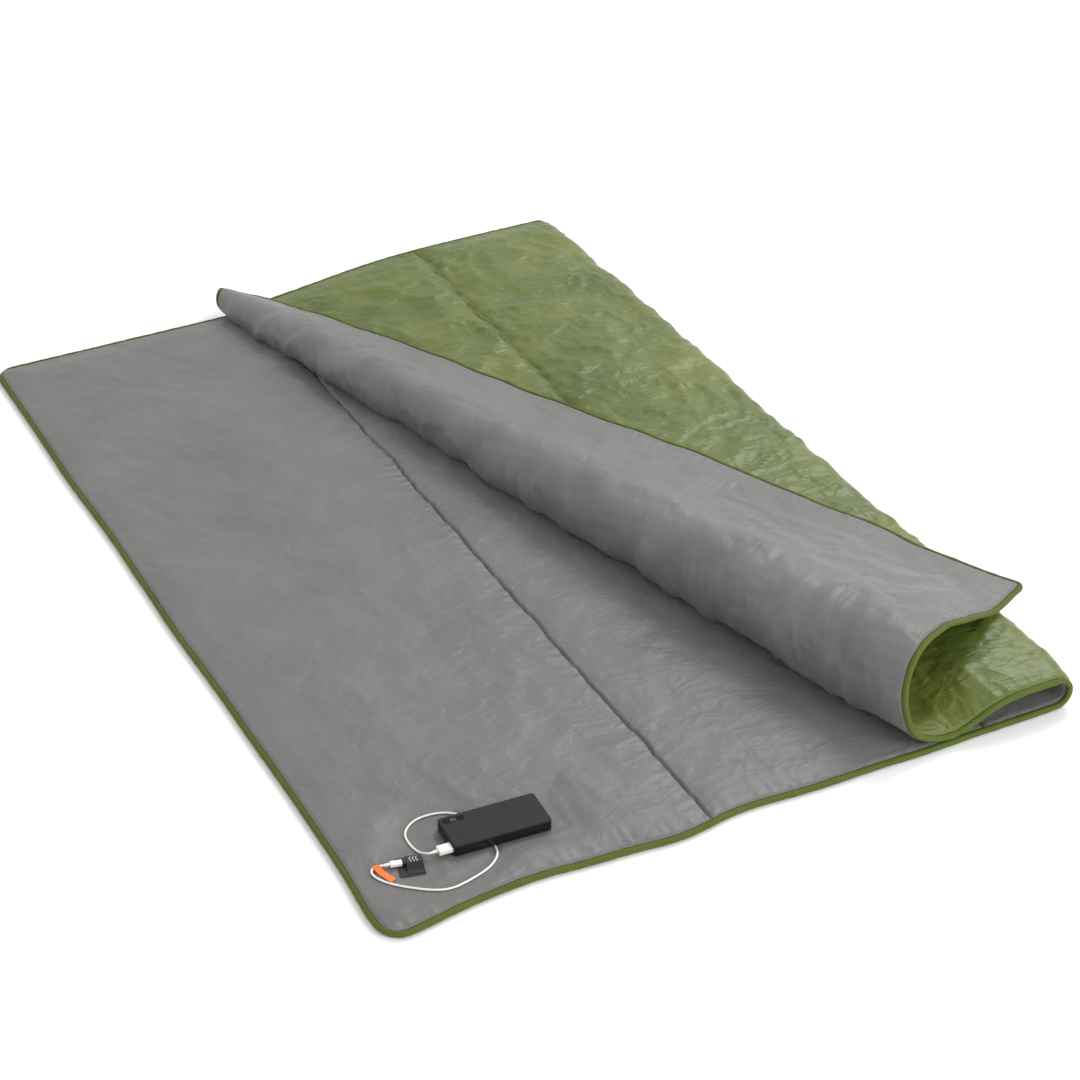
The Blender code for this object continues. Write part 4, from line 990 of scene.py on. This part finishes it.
class StageSettings(bpy.types.PropertyGroup):
    """Camera and light."""

    lens: bpy.props.FloatProperty(
        name="Lens", description="Focal length of the camera in millimetres", default=91.2
    )
    key_power: bpy.props.FloatProperty(
        name="Key light", description="Power of the large soft light", default=95.0, unit="POWER"
    )
    fill_power: bpy.props.FloatProperty(
        name="Fill light",
        description="Power of the light from the near side",
        default=68.0,
        unit="POWER",
    )


# ---- Operators ----
class BuildCloth(bpy.types.Operator):
    """Build the lining and the outer cloth in five stretches; base, flap and turned-back part are
    attached to their bodies
    """

    bl_idname = "quilt.cloth"
    bl_label = "Cloth"

    def execute(self, context):
        chosen = context.scene.quilt
        wrinkles["grid"] = simulate_wrinkles()
        lining = cloth_satin(
            "calendered_grey_polyester_satin", chosen.lining_colour, "676564", "706e6d", 0.46, 0.7
        )
        shell = cloth_satin(
            "calendered_green_polyester_taffeta", chosen.shell_colour, "4e5c22", "66712d", 0.42, 1.0
        )
        step = chosen.cloth_step * 1.0
        rows = round(SHEET_LENGTH / step)
        for stretch, span in MESHED_WIDTHS.items():
            columns = round(span / step)
            pad = add_cloth(f"lining_{stretch}_pad", stretch, 1, columns, rows, lining)
            self.settle(pad, stretch, "lining", ("lining", "wadding"))
            coarse = 4 if stretch == "base" else 1
            pad = add_cloth(
                f"shell_{stretch}_pad", stretch, -1, columns // coarse, rows // coarse, shell
            )
            self.settle(pad, stretch, "shell", ("shell",))
        return {"FINISHED"}

    def settle(self, pad, stretch, slot, kinds):
        move_with(pad, stretch)
        if stretch != "fold":
            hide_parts(*(f"{kind}_{stretch}" for kind in kinds))


class BuildTape(bpy.types.Operator):
    """Sweep the folded tape round the quilt's edge"""

    bl_idname = "quilt.tape"
    bl_label = "Edge tape"

    def execute(self, context):
        chosen = context.scene.quilt
        # The near-black stitch colour also paints the shade of the cloth puckered at the stitches
        made = binding_tape("woven_olive_twill_tape", chosen.tape_colour, "46521c", "23280f")
        paths = {"base": base_tape_path(), "turnback": turnback_tape_path()}
        for stretch in ("fold", "flap", "roll"):
            for side in ("near", "far"):
                paths[f"{stretch}_{side}"] = tape_path(stretch, side)
        for name, path in paths.items():
            tape = add_tape(f"edge_tape_{name}", path, made, chosen.tape_width)
            move_with(tape, name.split("_")[0])
            if name in ("base", "turnback", "flap_near", "flap_far"):
                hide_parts(f"binding_{name}")
        return {"FINISHED"}


class BuildSeams(bpy.types.Operator):
    """Lay the sewn threads in the quilt's seams, near black so that they also paint the shade where
    the cloth folds into them
    """

    bl_idname = "quilt.seams"
    bl_label = "Seams"

    def execute(self, context):
        # Spun polyester sewing threads: matt, their twist a fine grain. Both are near black, which
        # also paints the shade where the cloth folds into the seam
        made = grained("spun_grey_thread_and_painted_seam_shade", "1f1e1d", 0.8, 0.8, 0.1)
        green = grained("spun_green_thread_and_painted_seam_shade", "29320f", 0.8, 0.8, 0.1)
        low, high = 2 * TAPE, SHEET_LENGTH - 2 * TAPE
        rows = (
            ("seam_left_stitches_and_painted_shade", SEAMS[0], low, high, 1, made, "base", "seam_left_thread"),
            ("seam_middle_stitches_and_painted_shade", SEAMS[1], low, high, 1, made, "base", "seam_middle_thread"),
            ("seam_right_stitches_and_painted_shade", SEAMS[2], 0.36, high, -1, green, "flap", "seam_right_thread"),
        )
        for name, u, start, end, side, thread, body, node in rows:
            seam = add_seam(name, u, start, end, side, thread)
            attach(seam, body)
            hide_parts(node)
        return {"FINISHED"}


class BuildCable(bpy.types.Operator):
    """Lay the cable from the power bank's plug to the small plug, and finish both plugs"""

    bl_idname = "quilt.cable"
    bl_label = "Cable and plugs"

    def execute(self, context):
        # Cable sheath drawn through a die: even, slightly waxy
        white = grained("extruded_white_elastomer", "f2eee8", 0.42, 0.9, 0.03, 0.05)
        # Overmoulded plugs: smooth mould, slightly glossier than the sheath
        moulded = grained("moulded_white_abs", "f0ece6", 0.36, 0.7, 0.02, 0.04)
        points = cable_points()
        route = smooth_route(points, 300)
        cable = round_tube("cable_sheath", route, CABLE_DIAMETER / 2, white)
        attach(cable, "base")
        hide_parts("cable")
        usb = [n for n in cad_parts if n.startswith("usb_plug_")]
        tip = [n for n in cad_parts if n.startswith("tip_plug_")]
        dress([n for n in usb + tip if not n.endswith("shell")], moulded)
        return {"FINISHED"}


# Material, colour, roughness, size and depth of grain in mm, further settings, pieces
TAB_FINISHES = (
    # Tab: woven, soft and matt
    (
        "woven_black_polyester", "1c1c1c", 0.78, 0.9, 0.2, {"sheen_weight": 0.2},
        ("socket_patch", "socket_label"),
    ),
    # Ribbon: satin weave with heat-cut ends
    (
        "woven_orange_satin_ribbon", "f87408", 0.52, 0.8, 0.12, {"sheen_weight": 0.2},
        ("orange_tag",),
    ),
    # Socket: smooth injection moulding
    ("moulded_black_abs", "17171a", 0.38, 0.7, 0.03, {}, ("socket_housing", "socket_tongue")),
)


class FinishTab(bpy.types.Operator):
    """Finish the socket's black tab, its heat sign and the orange ribbon"""

    bl_idname = "quilt.tab"
    bl_label = "Socket tab"

    def execute(self, context):
        finish_pieces(TAB_FINISHES)
        self.heat_sign()
        return {"FINISHED"}

    def heat_sign(self):
        """Three wavy lines in white ink on the tab's face."""
        # Screen print: a thin matt film of ink
        ink = grained("screen_printed_white_ink", "e8e8e6", 0.6, 0.6, 0.02)
        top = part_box("socket_label")[1].z + 0.0002
        middle = Vector(CORNER) + Vector((0.0905, 0.1085, 0))
        turn = Matrix.Rotation(TAB_TURN, 3, "Z")
        for number in range(3):
            route = []
            for k in range(17):
                share = k / 16
                across = (number - 1) * 0.0044 + 0.0010 * math.sin(share * math.tau * 1.25)
                place = middle + turn @ Vector((across, (share - 0.5) * 0.0105, 0))
                route.append(Vector((place.x, place.y, top)))
            line = round_tube(f"heat_sign_line_{number + 1}", route, 0.00042, ink, sides=8)
            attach(line, "base")


BANK_FINISHES = (
    # Case and button, and small moulded pieces: moulded in a polished tool
    (
        "polished_black_abs", "121214", 0.20, 1.2, 0.015, {"unevenness": 0.05},
        (
            "bank_case", "power_button", "usb_port_1_tongue", "usb_port_2_tongue",
            "charge_port_tongue", "thermal_cutoff",
        ),
    ),
    # Cover: a leather-like pebble etched into its mould
    (
        "etched_black_abs", "191816", 0.50, 1.5, 0.25,
        {"unevenness": 0.05, "texture": "ShaderNodeTexVoronoi", "specular_ior_level": 0.3},
        ("bank_cover",),
    ),
    # Window: hard-coated sheet, nearly without grain
    (
        "hard_coated_smoked_acrylic", "040405", 0.16, 2.0, 0.004, {"specular_ior_level": 0.2},
        ("display_window",),
    ),
    # Port and plug shells: drawn steel, barrel-plated
    (
        "barrel_plated_nickel_steel", "c4c2be", 0.28, 0.8, 0.02, {"metallic": 1.0},
        (
            "usb_plug_shell", "usb_port_1_shell", "usb_port_2_shell", "charge_port_shell",
            "tip_plug_shell", "socket_shell",
        ),
    ),
    # Inside the bank: pressed tin, printed board, foil pouches and die-cut foam
    ("pressed_tinned_steel", "b8b8b4", 0.34, 0.8, 0.02, {"metallic": 1.0}, ("button_switch",)),
    (
        "printed_green_solder_mask", "1c6e46", 0.35, 1.0, 0.05, {},
        ("circuit_board", "display_module"),
    ),
    (
        "laminated_aluminium_foil", "9a9ca0", 0.35, 2.0, 0.05, {"metallic": 0.8},
        ("battery_cell_1", "battery_cell_2"),
    ),
    ("die_cut_black_foam", "2a2a2a", 0.92, 0.8, 0.2, {}, ("cell_foam",)),
    # Inside the quilt: carbon ink printed on film, and soft extruded leads
    (
        "printed_carbon_film", "1d1d1f", 0.45, 1.5, 0.08, {},
        ("heating_pad_1", "heating_pad_2", "heating_pad_3"),
    ),
    (
        "extruded_grey_silicone", "6a6a68", 0.5, 0.8, 0.03, {},
        ("heater_lead_in", "heater_lead_pads"),
    ),
)


class FinishBank(bpy.types.Operator):
    """Finish the power bank, its ports and its display"""

    bl_idname = "quilt.bank"
    bl_label = "Power bank"

    def execute(self, context):
        finish_pieces(BANK_FINISHES)
        self.digits()
        return {"FINISHED"}

    def digits(self):
        """Two seven-segment figures for the charge, lit behind the window."""
        # Display: diffusing segments lit from behind
        lit, _, shader = new_material("moulded_white_diffuser", "8a8c8e", 0.4)
        shader.inputs["Emission Color"].default_value = linear("dfe8f2")
        shader.inputs["Emission Strength"].default_value = 0.12
        low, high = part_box("display_window")
        middle = (low + high) / 2
        turn = Matrix.Rotation(BANK_TURN, 3, "Z")
        wide, tall, thick = 0.0024, 0.0046, 0.00045
        bars = {
            "top": (0, tall / 2, wide, thick),
            "middle": (0, 0, wide, thick),
            "bottom": (0, -tall / 2, wide, thick),
            "upper_left": (-wide / 2, tall / 4, thick, tall / 2),
            "upper_right": (wide / 2, tall / 4, thick, tall / 2),
            "lower_left": (-wide / 2, -tall / 4, thick, tall / 2),
            "lower_right": (wide / 2, -tall / 4, thick, tall / 2),
        }
        figures = (
            ("top", "upper_left", "upper_right", "middle", "lower_right", "bottom"),
            ("top", "upper_left", "middle", "lower_right", "bottom"),
        )
        bm = bmesh.new()
        for number, shown in enumerate(figures):
            offset = -0.0028 + 0.0048 * number
            for bar in shown:
                x, y, length, height = bars[bar]
                made = bmesh.ops.create_cube(bm, size=1.0)["verts"]
                bmesh.ops.scale(bm, vec=(length, height, 0.0001), verts=made)
                place = middle + turn @ Vector((x + offset, y, 0))
                bmesh.ops.rotate(bm, matrix=turn, verts=made)
                bmesh.ops.translate(bm, vec=(place.x, place.y, high.z + 0.00008), verts=made)
        figures = mesh_object("display_figures", bm, lit)
        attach(figures, "bank")


class BuildStage(bpy.types.Operator):
    """Set up the floor, the soft studio light and the camera"""

    bl_idname = "quilt.stage"
    bl_label = "Stage"

    def execute(self, context):
        self.floor()
        stage = context.scene.quilt_stage
        self.camera(stage.lens)
        self.light("key", (2.95, 1.57, 3.7), 2.2, stage.key_power)
        self.light("fill", (1.9, -3.6, 1.9), 2.2, stage.fill_power)
        world = bpy.data.worlds.new("studio")
        world.use_nodes = True
        backdrop = world.node_tree.nodes["Background"]
        backdrop.inputs["Color"].default_value = (1.0, 1.0, 1.0, 1.0)
        backdrop.inputs["Strength"].default_value = 0.87
        context.scene.world = world
        context.scene.view_settings.view_transform = "Standard"
        return {"FINISHED"}

    def floor(self):
        bm = bmesh.new()
        bmesh.ops.create_grid(bm, x_segments=1, y_segments=1, size=30.0)
        bmesh.ops.translate(bm, vec=(0, 0, -0.0006), verts=bm.verts)
        # Paper backdrop laid flat
        paper = grained("coated_white_paper", "f9f9f9", 0.85, 2.0, 0.02)
        mesh_object("floor", bm, paper)

    def camera(self, lens):
        data = bpy.data.cameras.new("camera")
        data.lens = lens
        data.sensor_width = 36.0
        data.clip_end = 100.0
        camera = new_object("camera", data)
        camera.location = (-1.594, -3.364, 2.413)
        pitch, yaw, roll = (math.radians(a) for a in (33.24, 26.98, -0.3))
        turn = Matrix.Rotation(-yaw, 4, "Z") @ Matrix.Rotation(math.pi / 2 - pitch, 4, "X")
        camera.rotation_euler = (turn @ Matrix.Rotation(roll, 4, "Z")).to_euler()
        bpy.context.scene.camera = camera

    def light(self, name, place, size, power):
        data = bpy.data.lights.new(name, "AREA")
        data.shape = "DISK"
        data.size = size
        data.energy = power
        lamp = new_object(name, data)
        lamp.location = place
        lamp.rotation_euler = (-Vector(place)).to_track_quat("-Z", "Y").to_euler()


OPERATORS = (BuildCloth, BuildTape, BuildSeams, BuildCable, FinishTab, FinishBank, BuildStage)


class QuiltPanel(bpy.types.Panel):
    """The quilt's settings and the steps that build it"""

    bl_idname = "VIEW3D_PT_quilt"
    bl_label = "Quilt"
    bl_space_type = "VIEW_3D"
    bl_region_type = "UI"
    bl_category = "Quilt"

    def draw(self, context):
        for settings in (context.scene.quilt, context.scene.quilt_stage):
            for name in settings.__annotations__:
                self.layout.prop(settings, name)
        for operator in OPERATORS:
            self.layout.operator(operator.bl_idname)


CLASSES = (QuiltSettings, StageSettings, *OPERATORS, QuiltPanel)


def register():
    for item in CLASSES:
        bpy.utils.register_class(item)
    bpy.types.Scene.quilt = bpy.props.PointerProperty(type=QuiltSettings)
    bpy.types.Scene.quilt_stage = bpy.props.PointerProperty(type=StageSettings)


def unregister():
    del bpy.types.Scene.quilt_stage
    del bpy.types.Scene.quilt
    for item in reversed(CLASSES):
        bpy.utils.unregister_class(item)


def main():
    register()
    for operator in OPERATORS:
        family, name = operator.bl_idname.split(".")
        getattr(getattr(bpy.ops, family), name)()
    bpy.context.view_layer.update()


if __name__ == "__main__":
    main()
